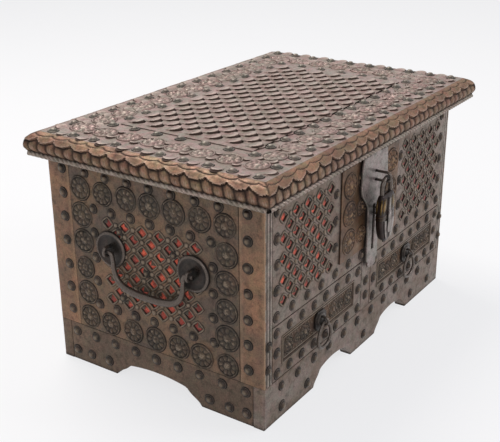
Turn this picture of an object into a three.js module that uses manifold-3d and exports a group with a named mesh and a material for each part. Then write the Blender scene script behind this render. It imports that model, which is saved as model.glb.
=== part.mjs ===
// An iron-clad strongbox: wood boards under nailed sheet iron, pierced over red cloth.
// It has a hinged lid with a moulded edge, a hasp with a padlock, a drop handle on each end,
// and two drawers with drop rings below the main compartment.
// Millimetres. X runs along the front, Y from front to back, Z up from the floor.

import * as THREE from 'three';
import { mergeVertices } from 'three/addons/utils/BufferGeometryUtils.js';
import Module from 'manifold-3d';

const wasm = await Module();
wasm.setup();

// Body, outside the sheet iron
const bodyWidth = 420;
const bodyDepth = 275.5;
const bodyHeight = 238;
const plinthHeight = 48;
const drawerTopHeight = 111;

// Wood boards
const endBoardThickness = 10.75;
const frontBoardThickness = 12;
const backBoardThickness = 12;
const compartmentFloorThickness = 8;
const plinthBoardThickness = 14;
const baseBoardThickness = 10;

// Sheet iron, cloth and the gap between pieces that lie on each other
const sheetThickness = 1.5;
const clothThickness = 0.75;
const seatGap = 0.25;
const cutOverrun = 2;

// Corner irons
const cornerLegOnEnd = 29.25;
const cornerLegOnFace = 13.5;

// Dome-headed nails
const nailRadius = 5.5;
const nailHeight = 3.5;
const nailSides = 6;
const nailShoulderRadiusShare = 0.7;
const nailShoulderHeightShare = 0.68;

// Nail rows and columns
const cornerNailSetback = 19.25;
const cornerNailTopDrop = 6;
const cornerNailBottomRise = 17.5;
const cornerNailsPerIron = 7;
const faceLegNailRises = [19, 45];
const endTopNailDrop = 5.75;
const endTopNailEdge = 22.75;
const endTopNailCount = 7;
const fieldNailSpan = 154;
const fieldNailTopDrop = 43.75;
const fieldNailBottomRise = 34.75;
const fieldNailColumns = 7;
const fieldNailRows = 5;
const frontRailNailRise = 10;
const frontRailNailEdge = 7.25;
const frontRailNailCount = 14;
const frontSideNailTopDrop = 6;
const frontSideNailCount = 4;
const frontInnerNailPlace = 75;
const frontInnerNailTopDrop = 25.5;
const frontInnerNailCount = 3;
const dividerNailRises = [16.5, 36];
const drawerNailEdge = 8.75;
const drawerNailRise = 8;
const drawerNailDrop = 9;
const drawerNailsPerRow = 8;
const plinthNailDrop = 10;
const plinthEndNailEdge = 8.75;
const plinthEndNailCount = 9;
const plinthFrontNailEdge = 31.25;
const plinthFrontNailCount = 12;
const footNailHeight = 13.5;
const endFootNailEdges = [54.25, 28.75, 7.75];
const frontFootNailEdges = [82.5, 32.5];
const backNailEdge = 18;
const backNailColumns = 9;
const backNailRows = 4;

// Diamond piercing
const diamondHalfWidth = 6;
const diamondHalfHeight = 5.5;
const endDiamondPitch = 23;
const frontDiamondPitch = 22.5;
const diamondRowPitch = 11;
const frontFieldTopDrop = 9.5;
const frontFieldBottomRise = 7.5;

// Bracket feet: an arch between every two feet, with a cusp at each of its ends
const endFootWidth = 64.75;
const frontFootWidth = 96.5;
const middleFootWidth = 59;
const archHeight = 20.5;
const archCuspHeight = 15.5;
const archCuspInsetShare = 0.161;
const archCuspStep = 3;
const archCurveSteps = 4;

// Lock plate behind the hasp
const lockPlateWidth = 132;
const lockPlateBottomRise = 18;
const lockPlateTopDrop = 4;

// Lid
const lidOverhangEnd = 26.5;
const lidOverhangFront = 23;
const lidOverhangBack = 8;
const lidHeight = 35;
const lidRebateHeight = 9;
const mouldingWidth = 13;
const lidBorderAtEnd = 76.5;
const lidBorderAlong = 69.25;
const lidFieldThickness = 2.5;
const lidSideNailInset = 21;
const lidLongNailInset = 26;
const lidEdgeNailsAlong = 15;
const lidEdgeNailsAcross = 10;
const lidFieldNailMargin = 6;
const lidFieldNailsAlong = 13;
const lidFieldNailsAcross = 7;
// Moulding section: share of its width in from the widest edge, then share of its own height
const mouldingShares = [
  [1, 0], [0.56, 0], [0.24, 0.22], [0.03, 0.35], [0.02, 0.54], [0.14, 0.73],
  [0.42, 0.88], [0.72, 0.96], [1, 1],
];

// Lid hinges
const hingePlace = 120;
const hingeWidth = 42;
const hingeKnuckleRadius = 3.5;
const hingePinRadius = 1.5;
const hingeAxisDrop = 4;
const hingeAxisProud = 4.25;
const hingeLeafThickness = 2;
const hingeBackLeafLength = 58;
const hingeLidLeafLength = 46;
const knuckleSegments = 12;
const knuckleGap = 0.5;
const pinClearance = 0.25;
const pinHeadRadius = 2.5;
const pinHeadThickness = 1.25;

// Hasp
const haspProud = 4;
const haspThickness = 2.5;
const haspAxisDrop = 5.25;
const haspKnuckleRadius = 3;
const haspPinRadius = 1.4;
const haspKnuckleWidth = 20;
const haspLeafWidth = 44;
const haspLeafLength = 13;
const haspLeafThickness = 1.75;
const haspShoulderDrop = 4.25;
const haspTopHalfWidth = 27;
const haspBellyHalfWidth = 30;
const haspTongueHalfWidth = 12.5;
const haspTipHalfWidth = 9.5;
const haspTipDrop = 8;
const haspTipRound = 4;
const haspSlotHalfWidth = 2.75;
const haspSlotRoom = 7.25;
const haspCurveSteps = 6;
// Heights on the hasp: share of the way from the top of the drawers to the top of the body
const haspBellyShare = 0.748;
const haspNeckShare = 0.465;
const haspSlotBottomShare = 0.106;
const keeperShare = 0.476;

// Keeper staple on the body, which the slot in the hasp passes over
const keeperHoleRadius = 2.5;
const keeperWireRadius = 1.25;
const keeperReach = 5.25;
const keeperFootWidth = 16;
const keeperFootHeight = 26;

// Eye on the hasp and the padlock that hangs in it
const eyeDrop = 25.5;
const eyeHoleRadius = 3.5;
const eyeWireRadius = 1.5;
const eyeReach = 12.75;
const shackleWireRadius = 2.5;
const shackleHalfWidth = 10;
const shackleRestDrop = 0.5;
const shackleRestForward = 0.25;
const shackleArcSteps = 10;
const lockTopDrop = 17.5;
const lockHalfWidth = 16.5;
const lockHeight = 56;
const lockThickness = 10.5;
const lockBevel = 1.5;
const lockWaistShare = 0.3;
const lockTaperShare = 0.7;
const lockCurveSteps = 7;
const lockHoleRadius = 2.75;
const longLegDepth = 20;
const shortLegDepth = 6;
const legEndRoom = 1;
const keyCoverTopDrop = 22;
const keyCoverRadius = 3.25;
const keyCoverLength = 25;
const keyCoverThickness = 1.25;
const keyPivotRadius = 1.25;
const keyPivotDepth = 2.5;
const keyHoleRadius = 2;
const keyHoleDepth = 5;

// Drop handles
const handleRise = 15.5;
const handleSpan = 108;
const handlePlateRadius = 20;
const handlePlateRim = 3.5;
const handlePlateCentre = 2;
const handlePlateSegments = 16;
const handleEyeHoleRadius = 3;
const handleEyeWireRadius = 1.75;
const handleEyeReach = 5.5;
const bailPinRadius = 2.25;
const bailGripRadius = 4;
const bailRestDrop = 0.25;
const bailHalfWidth = 46;
const bailDrop = 39.5;
const bailPinEnd = 58;
const bailSteps = 30;
// Right half of the bail: share of its half width, then share of its drop
const bailShares = [
  [1.12, 0], [1.03, 0.06], [1, 0.24], [0.98, 0.5], [0.88, 0.76], [0.66, 0.92], [0.34, 0.99],
];

// Drawers
const dividerWidth = 21;
const drawerGap = 0.75;
const drawerFrontThickness = 10;
const drawerBoxInset = 1;
const drawerBoxTopRoom = 7.5;
const drawerBackRoom = 12;
const drawerSideThickness = 8;
const drawerBottomThickness = 6;

// Drawer rings
const ringPlateSize = 22;
const ringPlateCorner = 5;
const ringEyeHoleRadius = 3;
const ringEyeWireRadius = 1.25;
const ringEyeReach = 4.5;
const ringWireRadius = 1.75;
const ringRestDrop = 0.5;
const ringHalfWidth = 12;
const ringLength = 30;
const ringSteps = 20;

const barSides = 8;
const eyeSides = 6;
const eyeArcSteps = 6;

// Worked out from the sizes above
const halfWidth = bodyWidth / 2;
const halfDepth = bodyDepth / 2;
const skinDepth = sheetThickness + seatGap + clothThickness + seatGap;
const backSkinDepth = sheetThickness + seatGap;
const cornerIronThickness = skinDepth - seatGap;
const innerHalfWidth = halfWidth - skinDepth - endBoardThickness;
const frontBoardBack = -halfDepth + skinDepth + frontBoardThickness;
const backBoardFront = halfDepth - backSkinDepth - backBoardThickness;
const lidBase = bodyHeight + seatGap;
const lidTop = lidBase + lidHeight;
const lidCentreY = (lidOverhangBack - lidOverhangFront) / 2;
const lidHalfWidth = halfWidth + lidOverhangEnd;
const lidHalfDepth = halfDepth + (lidOverhangFront + lidOverhangBack) / 2;
const hingeAxisY = halfDepth + hingeAxisProud;
const hingeAxisZ = bodyHeight - hingeAxisDrop;
const hingePocketDepth = seatGap + hingeLeafThickness + seatGap;
const haspAxisY = -halfDepth - haspProud - haspThickness / 2;
const lidUnderEdge = lidBase + lidRebateHeight;
const lidFieldHalfX = lidHalfWidth - lidBorderAtEnd;
const lidFieldHalfY = lidHalfDepth - lidBorderAlong;
const haspAxisZ = lidUnderEdge - haspAxisDrop;
const haspFront = haspProud + haspThickness;
const eyeCentreProud = haspFront + seatGap + eyeReach;
const shackleProud = eyeCentreProud + shackleRestForward;
const eyeHeight = bodyHeight - eyeDrop;
const shackleTop = eyeHeight - shackleRestDrop;
const lockTop = shackleTop - lockTopDrop;
const haspShareHeight = (share) => drawerTopHeight + share * (bodyHeight - drawerTopHeight);
const keeperHeight = haspShareHeight(keeperShare);
const drawerHalfInner = dividerWidth / 2 + drawerGap;
const drawerHalfOuter = innerHalfWidth - drawerGap;
const drawerCentre = (drawerHalfInner + drawerHalfOuter) / 2;
const drawerBottom = plinthHeight + drawerGap;
const drawerTop = drawerTopHeight - drawerGap;
const ringHeight = (plinthHeight + drawerTopHeight) / 2;
const drawerBoxFront = -halfDepth + backSkinDepth + drawerFrontThickness;
const endSheetHalf = halfDepth - cornerLegOnEnd - seatGap;
const frontSheetHalf = innerHalfWidth - seatGap;
const endFieldTop = bodyHeight - fieldNailTopDrop;
const endFieldBottom = plinthHeight + fieldNailBottomRise;
const endFieldHeight = (endFieldTop + endFieldBottom) / 2;
const handleHeight = endFieldHeight + handleRise;
const frontRailNailHeight = drawerTopHeight + frontRailNailRise;
const frontSideNailPlace = frontSheetHalf - frontRailNailEdge;
const frontFieldTop = bodyHeight - frontFieldTopDrop;
const frontFieldBottom = frontRailNailHeight + frontFieldBottomRise;
const handleEyeProud = seatGap + handlePlateCentre + seatGap + handleEyeReach;
const ringEyeProud = seatGap + sheetThickness + ringEyeReach;

// Materials
const ironBrown = { color: 0x5a4a3d, roughness: 0.5, metalness: 0.85 };
const ironGrey = { color: 0x6a6058, roughness: 0.45, metalness: 0.9 };
const ironDark = { color: 0x3b322d, roughness: 0.5, metalness: 0.9 };
const copperBrown = { color: 0x7a5542, roughness: 0.48, metalness: 0.85 };
const steel = { color: 0x8a8680, roughness: 0.35, metalness: 0.95 };
const bronze = { color: 0x5c4a2c, roughness: 0.4, metalness: 0.9 };
const redCloth = { color: 0xa0301e, roughness: 0.95, metalness: 0 };
const darkWood = { color: 0x4a2f1e, roughness: 0.75, metalness: 0 };

// A closed mesh as a solid, its shared corners merged and its faces turned out
function solidOf(geometry) {
  const bare = geometry.clone();
  bare.deleteAttribute('normal');
  bare.deleteAttribute('uv');
  const merged = mergeVertices(bare);
  const vertProperties = new Float32Array(merged.attributes.position.array);
  const corners = merged.index.array;
  const kept = [];
  for (let i = 0; i < corners.length; i += 3) {
    const [a, b, c] = [corners[i], corners[i + 1], corners[i + 2]];
    if (a !== b && b !== c && c !== a) kept.push(a, b, c);
  }
  const solid = new wasm.Manifold(
    new wasm.Mesh({ numProp: 3, vertProperties, triVerts: new Uint32Array(kept) }));
  if (solid.volume() > 0) return solid;
  const turned = new Uint32Array(kept);
  for (let i = 0; i < turned.length; i += 3) {
    [turned[i + 1], turned[i + 2]] = [turned[i + 2], turned[i + 1]];
  }
  return new wasm.Manifold(new wasm.Mesh({ numProp: 3, vertProperties, triVerts: turned }));
}

function geometryOf(solid) {
  const { vertProperties, triVerts } = solid.getMesh();
  const geometry = new THREE.BufferGeometry();
  geometry.setAttribute('position', new THREE.BufferAttribute(new Float32Array(vertProperties), 3));
  geometry.setIndex(new THREE.BufferAttribute(new Uint32Array(triVerts), 1));
  geometry.computeVertexNormals();
  return geometry;
}

function joined(solids) {
  return solids.reduce((whole, piece) => whole.add(piece));
}

function box(x0, x1, y0, y1, z0, z1) {
  const geometry = new THREE.BoxGeometry(x1 - x0, y1 - y0, z1 - z0);
  geometry.translate((x0 + x1) / 2, (y0 + y1) / 2, (z0 + z1) / 2);
  return solidOf(geometry);
}

// Quarter turns written out, so that no size picks up a rounding
const standUp = new THREE.Matrix4().set(1, 0, 0, 0, 0, 0, -1, 0, 0, 1, 0, 0, 0, 0, 0, 1);
const layAlongX = new THREE.Matrix4().set(0, 1, 0, 0, 0, 0, 1, 0, 1, 0, 0, 0, 0, 0, 0, 1);
const pointForward = new THREE.Matrix4().set(1, 0, 0, 0, 0, -1, 0, 0, 0, 0, -1, 0, 0, 0, 0, 1);
const faceTurns = {
  front: new THREE.Matrix4(),
  back: new THREE.Matrix4().set(-1, 0, 0, 0, 0, -1, 0, 0, 0, 0, 1, 0, 0, 0, 0, 1),
  left: new THREE.Matrix4().set(0, 1, 0, 0, -1, 0, 0, 0, 0, 0, 1, 0, 0, 0, 0, 1),
  right: new THREE.Matrix4().set(0, -1, 0, 0, 1, 0, 0, 0, 0, 0, 1, 0, 0, 0, 0, 1),
};
const faceDistances = { front: halfDepth, back: halfDepth, left: halfWidth, right: halfWidth };

// A face piece is drawn looking at its face: x to the right, z up, and y into the body from the
// face's surface. This turns it to its side of the body.
function onFace(solid, face) {
  const geometry = geometryOf(solid);
  geometry.translate(0, -faceDistances[face], 0);
  geometry.applyMatrix4(faceTurns[face]);
  return solidOf(geometry);
}

// A flat outline in x and z, thickened towards the viewer from y = back
function plate(shape, thickness, back, curveSteps = archCurveSteps) {
  const geometry = new THREE.ExtrudeGeometry(shape, {
    depth: thickness, bevelEnabled: false, curveSegments: curveSteps,
  });
  geometry.applyMatrix4(standUp);
  geometry.translate(0, back, 0);
  return solidOf(geometry);
}

// A turned piece on the y axis, its profile given as distance out and radius
function turned(profile, segments) {
  const points = profile.map(([out, radius]) => new THREE.Vector2(radius, out));
  const geometry = new THREE.LatheGeometry(points, segments);
  geometry.applyMatrix4(pointForward);
  return solidOf(geometry);
}

// A round bar along points that lie in one plane, with a radius at each; normal is that plane's
function bar(points, radii, normal, sides, closed = false) {
  const count = points.length;
  const positions = [];
  points.forEach((point, i) => {
    const before = points[closed ? (i + count - 1) % count : Math.max(i - 1, 0)];
    const after = points[closed ? (i + 1) % count : Math.min(i + 1, count - 1)];
    const along = new THREE.Vector3().subVectors(after, before).normalize();
    const across = new THREE.Vector3().crossVectors(normal, along);
    for (let k = 0; k < sides; k++) {
      const angle = 2 * Math.PI * (k + 0.5) / sides;
      positions.push(...point.clone()
        .addScaledVector(normal, radii[i] * Math.cos(angle))
        .addScaledVector(across, radii[i] * Math.sin(angle)).toArray());
    }
  });
  const index = [];
  const rings = closed ? count : count - 1;
  for (let i = 0; i < rings; i++) {
    for (let k = 0; k < sides; k++) {
      const a = i * sides + k;
      const b = i * sides + (k + 1) % sides;
      const c = ((i + 1) % count) * sides + k;
      const d = ((i + 1) % count) * sides + (k + 1) % sides;
      index.push(a, b, c, b, d, c);
    }
  }
  if (!closed) {
    const last = (count - 1) * sides;
    for (let k = 1; k < sides - 1; k++) index.push(0, k + 1, k, last, last + k, last + k + 1);
  }
  const geometry = new THREE.BufferGeometry();
  geometry.setAttribute('position', new THREE.Float32BufferAttribute(positions, 3));
  geometry.setIndex(index);
  return solidOf(geometry);
}

function tube(x0, x1, outerRadius, innerRadius, segments) {
  const profile = [
    [innerRadius, x0], [outerRadius, x0], [outerRadius, x1], [innerRadius, x1], [innerRadius, x0],
  ];
  const points = profile.map(([radius, along]) => new THREE.Vector2(radius, along));
  const geometry = new THREE.LatheGeometry(points, segments);
  geometry.applyMatrix4(layAlongX);
  return solidOf(geometry);
}

function rod(x0, x1, radius, segments) {
  const geometry = new THREE.CylinderGeometry(radius, radius, x1 - x0, segments);
  geometry.translate(0, (x0 + x1) / 2, 0);
  geometry.applyMatrix4(layAlongX);
  return solidOf(geometry);
}

function uprightRod(x, y, z0, z1, radius) {
  const geometry = new THREE.CylinderGeometry(radius, radius, z1 - z0, knuckleSegments);
  geometry.applyMatrix4(standUp);
  geometry.translate(x, y, (z0 + z1) / 2);
  return solidOf(geometry);
}

// A nail's domed head on a face, sunk by half the sheet that it holds
function nailHead(x, z) {
  const shoulder = nailRadius * nailShoulderRadiusShare;
  const head = turned([
    [-sheetThickness / 2, 0],
    [-sheetThickness / 2, nailRadius],
    [0, nailRadius],
    [nailHeight * nailShoulderHeightShare, shoulder],
    [nailHeight, 0],
  ], nailSides);
  return head.translate(x, 0, z);
}

function withNails(sheet, places) {
  return joined([sheet, ...places.map(([x, z]) => nailHead(x, z))]);
}

// Evenly spaced places about zero
function spaced(count, pitch) {
  return Array.from({ length: count }, (_, i) => (i - (count - 1) / 2) * pitch);
}

// Places round a rectangle, corners once each
function ringPlaces(halfLength, halfHeight, along, across, centre) {
  const places = [];
  for (const u of spaced(along, 2 * halfLength / (along - 1))) {
    places.push([u, centre - halfHeight], [u, centre + halfHeight]);
  }
  for (const v of spaced(across, 2 * halfHeight / (across - 1)).slice(1, -1)) {
    places.push([-halfLength, centre + v], [halfLength, centre + v]);
  }
  return places;
}

// How many pieces of one size stand in a room at a pitch
function countIn(room, size, pitch) {
  return Math.floor((room - size) / pitch) + 1;
}

// A field of diamond holes, every other row set half a pitch over
function pierced(sheet, centreX, centreZ, roomX, roomZ, pitch) {
  const columns = countIn(roomX, 2 * diamondHalfWidth, pitch);
  const rows = countIn(roomZ, 2 * diamondHalfHeight, diamondRowPitch);
  const diamond = new THREE.Shape();
  diamond.moveTo(-diamondHalfWidth, 0);
  diamond.lineTo(0, -diamondHalfHeight);
  diamond.lineTo(diamondHalfWidth, 0);
  diamond.lineTo(0, diamondHalfHeight);
  diamond.closePath();
  const cutter = plate(diamond, sheetThickness + 2 * cutOverrun, sheetThickness + cutOverrun);
  const holes = [];
  spaced(rows, diamondRowPitch).forEach((z, row) => {
    const inRow = row % 2 === 0 ? columns : columns - 1;
    for (const x of spaced(inRow, pitch)) holes.push(cutter.translate(centreX + x, 0, centreZ + z));
  });
  return sheet.subtract(joined(holes));
}

// The space between two bracket feet, from below the floor line up to a shallow arch
function archOutline(span) {
  const half = span / 2;
  const inset = archCuspInsetShare * span;
  const cusp = half - inset;
  const spring = cusp - archCuspStep;
  const springHeight = archCuspHeight + archCuspStep / 2;
  const shape = new THREE.Shape();
  shape.moveTo(-half, -cutOverrun);
  shape.lineTo(-half, 0);
  shape.bezierCurveTo(-half + inset / 4, archCuspHeight / 2, -cusp - inset / 3, archCuspHeight / 2,
    -cusp, archCuspHeight);
  shape.lineTo(-spring, springHeight);
  shape.quadraticCurveTo(0, 2 * archHeight - springHeight, spring, springHeight);
  shape.lineTo(cusp, archCuspHeight);
  shape.bezierCurveTo(cusp + inset / 3, archCuspHeight / 2, half - inset / 4, archCuspHeight / 2,
    half, 0);
  shape.lineTo(half, -cutOverrun);
  shape.closePath();
  return shape;
}

// Wood carcass
function endBoard(side) {
  const outer = side * (halfWidth - skinDepth);
  const inner = side * innerHalfWidth;
  return box(Math.min(outer, inner), Math.max(outer, inner),
    -halfDepth + skinDepth, halfDepth - skinDepth, plinthHeight, bodyHeight);
}

function backBoard() {
  return box(-innerHalfWidth, innerHalfWidth,
    backBoardFront, halfDepth - backSkinDepth, plinthHeight, bodyHeight);
}

function frontBoard() {
  return box(-innerHalfWidth, innerHalfWidth,
    -halfDepth + skinDepth, frontBoardBack, drawerTopHeight, bodyHeight);
}

function compartmentFloor() {
  return box(-innerHalfWidth, innerHalfWidth, frontBoardBack, backBoardFront,
    drawerTopHeight, drawerTopHeight + compartmentFloorThickness);
}

function baseBoard() {
  const halfX = halfWidth - plinthBoardThickness;
  const halfY = halfDepth - plinthBoardThickness;
  return box(-halfX, halfX, -halfY, halfY, plinthHeight - baseBoardThickness, plinthHeight);
}

function drawerDivider() {
  return box(-dividerWidth / 2, dividerWidth / 2,
    -halfDepth + backSkinDepth, backBoardFront, plinthHeight, drawerTopHeight);
}

// Plinth boards, clad and nailed
function longPlinth(face) {
  let board = box(-halfWidth, halfWidth, 0, plinthBoardThickness, 0, plinthHeight);
  const span = halfWidth - frontFootWidth - middleFootWidth / 2;
  for (const side of [-1, 1]) {
    const arch = plate(archOutline(span),
      plinthBoardThickness + 2 * cutOverrun, plinthBoardThickness + cutOverrun);
    board = board.subtract(arch.translate(side * (middleFootWidth + span) / 2, 0, 0));
  }
  const pitch = 2 * (halfWidth - plinthFrontNailEdge) / (plinthFrontNailCount - 1);
  const nails = spaced(plinthFrontNailCount, pitch).map((x) => [x, plinthHeight - plinthNailDrop]);
  for (const edge of frontFootNailEdges) {
    nails.push([edge - halfWidth, footNailHeight], [halfWidth - edge, footNailHeight]);
  }
  nails.push([0, footNailHeight]);
  return onFace(withNails(board, nails), face);
}

function endPlinth(face) {
  const half = halfDepth - plinthBoardThickness;
  const arch = plate(archOutline(2 * (half - endFootWidth)),
    plinthBoardThickness + 2 * cutOverrun, plinthBoardThickness + cutOverrun);
  const board = box(-half, half, 0, plinthBoardThickness, 0, plinthHeight).subtract(arch);
  const pitch = 2 * (half - plinthEndNailEdge) / (plinthEndNailCount - 1);
  const nails = spaced(plinthEndNailCount, pitch).map((x) => [x, plinthHeight - plinthNailDrop]);
  for (const edge of endFootNailEdges) {
    nails.push([edge - half, footNailHeight], [half - edge, footNailHeight]);
  }
  return onFace(withNails(board, nails), face);
}

// Corner irons: an angle with its long leg on the end of the body
function cornerIron(side, end) {
  const z0 = plinthHeight + seatGap;
  const z1 = bodyHeight - seatGap;
  const longLeg = box(halfWidth - cornerIronThickness, halfWidth,
    -halfDepth, -halfDepth + cornerLegOnEnd, z0, z1);
  const shortLeg = box(halfWidth - cornerLegOnFace, halfWidth,
    -halfDepth, -halfDepth + cornerIronThickness, z0, z1);
  const topNail = bodyHeight - cornerNailTopDrop;
  const bottomNail = plinthHeight + cornerNailBottomRise;
  const pitch = (topNail - bottomNail) / (cornerNailsPerIron - 1);
  const endNails = spaced(cornerNailsPerIron, pitch)
    .map((z) => nailHead(-halfDepth + cornerNailSetback, (topNail + bottomNail) / 2 + z));
  const faceNails = faceLegNailRises.map((rise) =>
    nailHead(halfWidth - cornerLegOnFace / 2, plinthHeight + rise).translate(0, -halfDepth, 0));
  const iron = joined([longLeg, shortLeg, ...faceNails, onFace(joined(endNails), 'right')]);
  const geometry = geometryOf(iron);
  geometry.scale(side, end, 1);
  return solidOf(geometry);
}

// Sheet iron on the ends, the back and the front
function endSheet(face) {
  const half = endSheetHalf;
  const blank = box(-half, half, 0, sheetThickness, plinthHeight + seatGap, bodyHeight - seatGap);
  const roomX = fieldNailSpan - 2 * nailRadius;
  const roomZ = endFieldTop - endFieldBottom - 2 * nailRadius;
  const sheet = pierced(blank, 0, endFieldHeight, roomX, roomZ, endDiamondPitch);
  const nails = spaced(endTopNailCount, 2 * (half - endTopNailEdge) / (endTopNailCount - 1))
    .map((x) => [x, bodyHeight - endTopNailDrop]);
  nails.push(...ringPlaces(fieldNailSpan / 2, (endFieldTop - endFieldBottom) / 2,
    fieldNailColumns, fieldNailRows, endFieldHeight));
  const clear = handlePlateRadius + nailRadius + seatGap;
  const seen = nails.filter(([x, z]) =>
    Math.hypot(Math.abs(x) - handleSpan / 2, z - handleHeight) > clear);
  return onFace(withNails(sheet, seen), face);
}

function endCloth(face) {
  const half = endSheetHalf;
  const front = sheetThickness + seatGap;
  return onFace(box(-half, half, front, front + clothThickness,
    plinthHeight + seatGap, bodyHeight - seatGap), face);
}

function backSheet() {
  const half = frontSheetHalf;
  const z0 = plinthHeight + seatGap;
  const z1 = bodyHeight - seatGap;
  const sheet = box(-half, half, 0, sheetThickness, z0, z1);
  const leafEdge = hingeWidth / 2 + nailRadius;
  const nails = ringPlaces(half - backNailEdge, (z1 - z0) / 2 - backNailEdge,
    backNailColumns, backNailRows, (z0 + z1) / 2)
    .filter(([x, z]) => Math.abs(Math.abs(x) - hingePlace) > leafEdge
      || z < hingeAxisZ - hingeBackLeafLength);
  return onFace(withNails(sheet, nails), 'back');
}

// The front sheet reaches down over the drawer divider
function frontSheet() {
  const half = frontSheetHalf;
  const bottom = drawerTopHeight + seatGap;
  let sheet = box(-half, half, 0, sheetThickness, bottom, bodyHeight - seatGap);
  sheet = sheet.add(box(-dividerWidth / 2, dividerWidth / 2, 0, sheetThickness,
    plinthHeight + seatGap, bottom + cutOverrun));
  const roomX = frontSideNailPlace - frontInnerNailPlace - 2 * nailRadius;
  for (const side of [-1, 1]) {
    sheet = pierced(sheet, side * (frontInnerNailPlace + frontSideNailPlace) / 2,
      (frontFieldTop + frontFieldBottom) / 2, roomX, frontFieldTop - frontFieldBottom,
      frontDiamondPitch);
  }
  const nails = spaced(frontRailNailCount, 2 * frontSideNailPlace / (frontRailNailCount - 1))
    .map((x) => [x, frontRailNailHeight]);
  const outerRise = bodyHeight - frontSideNailTopDrop - frontRailNailHeight;
  const innerRise = bodyHeight - frontInnerNailTopDrop - frontRailNailHeight;
  for (const side of [-1, 1]) {
    for (let i = 1; i <= frontSideNailCount; i++) {
      nails.push([side * frontSideNailPlace,
        frontRailNailHeight + i * outerRise / frontSideNailCount]);
    }
    for (let i = 1; i <= frontInnerNailCount; i++) {
      nails.push([side * frontInnerNailPlace,
        frontRailNailHeight + i * innerRise / frontInnerNailCount]);
    }
  }
  nails.push(...dividerNailRises.map((rise) => [0, plinthHeight + rise]));
  return onFace(withNails(sheet, nails), 'front');
}

function frontCloth() {
  const half = frontSheetHalf;
  const front = sheetThickness + seatGap;
  return onFace(box(-half, half, front, front + clothThickness,
    drawerTopHeight + seatGap, bodyHeight - seatGap), 'front');
}

function lockPlate() {
  return onFace(box(-lockPlateWidth / 2, lockPlateWidth / 2,
    -seatGap - sheetThickness, -seatGap,
    drawerTopHeight + lockPlateBottomRise, bodyHeight - lockPlateTopDrop), 'front');
}

// A staple bent from round wire: out from y = foot, round the hole, and back, its hole along x
function wireEye(foot, reach, holeRadius, wireRadius) {
  const bend = holeRadius + wireRadius;
  const points = [new THREE.Vector3(0, -foot, bend)];
  for (let i = 0; i <= eyeArcSteps; i++) {
    const angle = Math.PI * i / eyeArcSteps;
    points.push(new THREE.Vector3(0,
      -foot - reach - bend * Math.sin(angle), bend * Math.cos(angle)));
  }
  points.push(new THREE.Vector3(0, -foot, -bend));
  return bar(points, points.map(() => wireRadius), new THREE.Vector3(1, 0, 0), eyeSides);
}

// Drop handle: two round plates, a staple in each and the bail that hangs in them
function handlePlate(face, side) {
  const dish = turned([
    [0, 0],
    [0, handlePlateRadius],
    [handlePlateRim / 2, handlePlateRadius],
    [handlePlateRim, handlePlateRadius - handlePlateRim / 2],
    [handlePlateCentre, handlePlateRadius - 2 * handlePlateRim],
    [handlePlateCentre, 0],
  ], handlePlateSegments);
  return onFace(dish.translate(side * handleSpan / 2, -seatGap, handleHeight), face);
}

function handleStaple(face, side) {
  const foot = handleEyeProud - handleEyeReach;
  const eye = wireEye(foot, handleEyeReach, handleEyeHoleRadius, handleEyeWireRadius);
  return onFace(eye.translate(side * handleSpan / 2, 0, handleHeight), face);
}

function bail(face) {
  const half = bailShares.map(([across, down]) =>
    new THREE.Vector3(across * bailHalfWidth, 0, -down * bailDrop));
  const rightHalf = [new THREE.Vector3(bailPinEnd, 0, 0), ...half];
  const leftHalf = rightHalf.map((point) => new THREE.Vector3(-point.x, 0, point.z));
  const route = new THREE.CatmullRomCurve3(
    [...leftHalf, new THREE.Vector3(0, 0, -bailDrop), ...rightHalf.reverse()], false, 'centripetal');
  const points = route.getSpacedPoints(bailSteps);
  const radii = points.map((point) => {
    const share = Math.min(Math.max(-point.z / bailDrop, 0), 1);
    return bailPinRadius + (bailGripRadius - bailPinRadius) * share * share;
  });
  const shape = bar(points, radii, new THREE.Vector3(0, 1, 0), barSides);
  return onFace(shape.translate(0, -handleEyeProud, handleHeight - bailRestDrop), face);
}

// Drawers; side is -1 for the left one and 1 for the right one
function mirrored(solid, side) {
  const geometry = geometryOf(solid);
  geometry.scale(side, 1, 1);
  return solidOf(geometry);
}

function drawerBox(side) {
  const x0 = drawerHalfInner + drawerBoxInset;
  const x1 = drawerHalfOuter - drawerBoxInset;
  const length = backBoardFront - drawerBackRoom - drawerBoxFront;
  const front = box(drawerHalfInner, drawerHalfOuter, drawerBoxFront - drawerFrontThickness,
    drawerBoxFront, drawerBottom, drawerTop);
  const block = box(x0, x1, drawerBoxFront - cutOverrun, drawerBoxFront + length,
    drawerBottom, drawerTop - drawerBoxTopRoom);
  const hollow = box(x0 + drawerSideThickness, x1 - drawerSideThickness,
    drawerBoxFront, drawerBoxFront + length - drawerSideThickness,
    drawerBottom + drawerBottomThickness, drawerTop + cutOverrun);
  return mirrored(front.add(block).subtract(hollow), side);
}

function drawerSheet(side) {
  const sheet = box(drawerHalfInner, drawerHalfOuter, 0, sheetThickness, drawerBottom, drawerTop);
  const x0 = drawerHalfInner + drawerNailEdge - drawerGap;
  const x1 = drawerHalfOuter - drawerNailEdge + drawerGap;
  const nails = [[x0, ringHeight], [x1, ringHeight]];
  for (const z of [plinthHeight + drawerNailRise, drawerTopHeight - drawerNailDrop]) {
    for (const step of spaced(drawerNailsPerRow, (x1 - x0) / (drawerNailsPerRow - 1))) {
      nails.push([drawerCentre + step, z]);
    }
  }
  const clear = ringPlateSize / 2 + nailRadius;
  const seen = nails.filter(([x, z]) =>
    Math.abs(x - drawerCentre) > clear || Math.abs(z - ringHeight) > clear);
  return mirrored(onFace(withNails(sheet, seen), 'front'), side);
}

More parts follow.
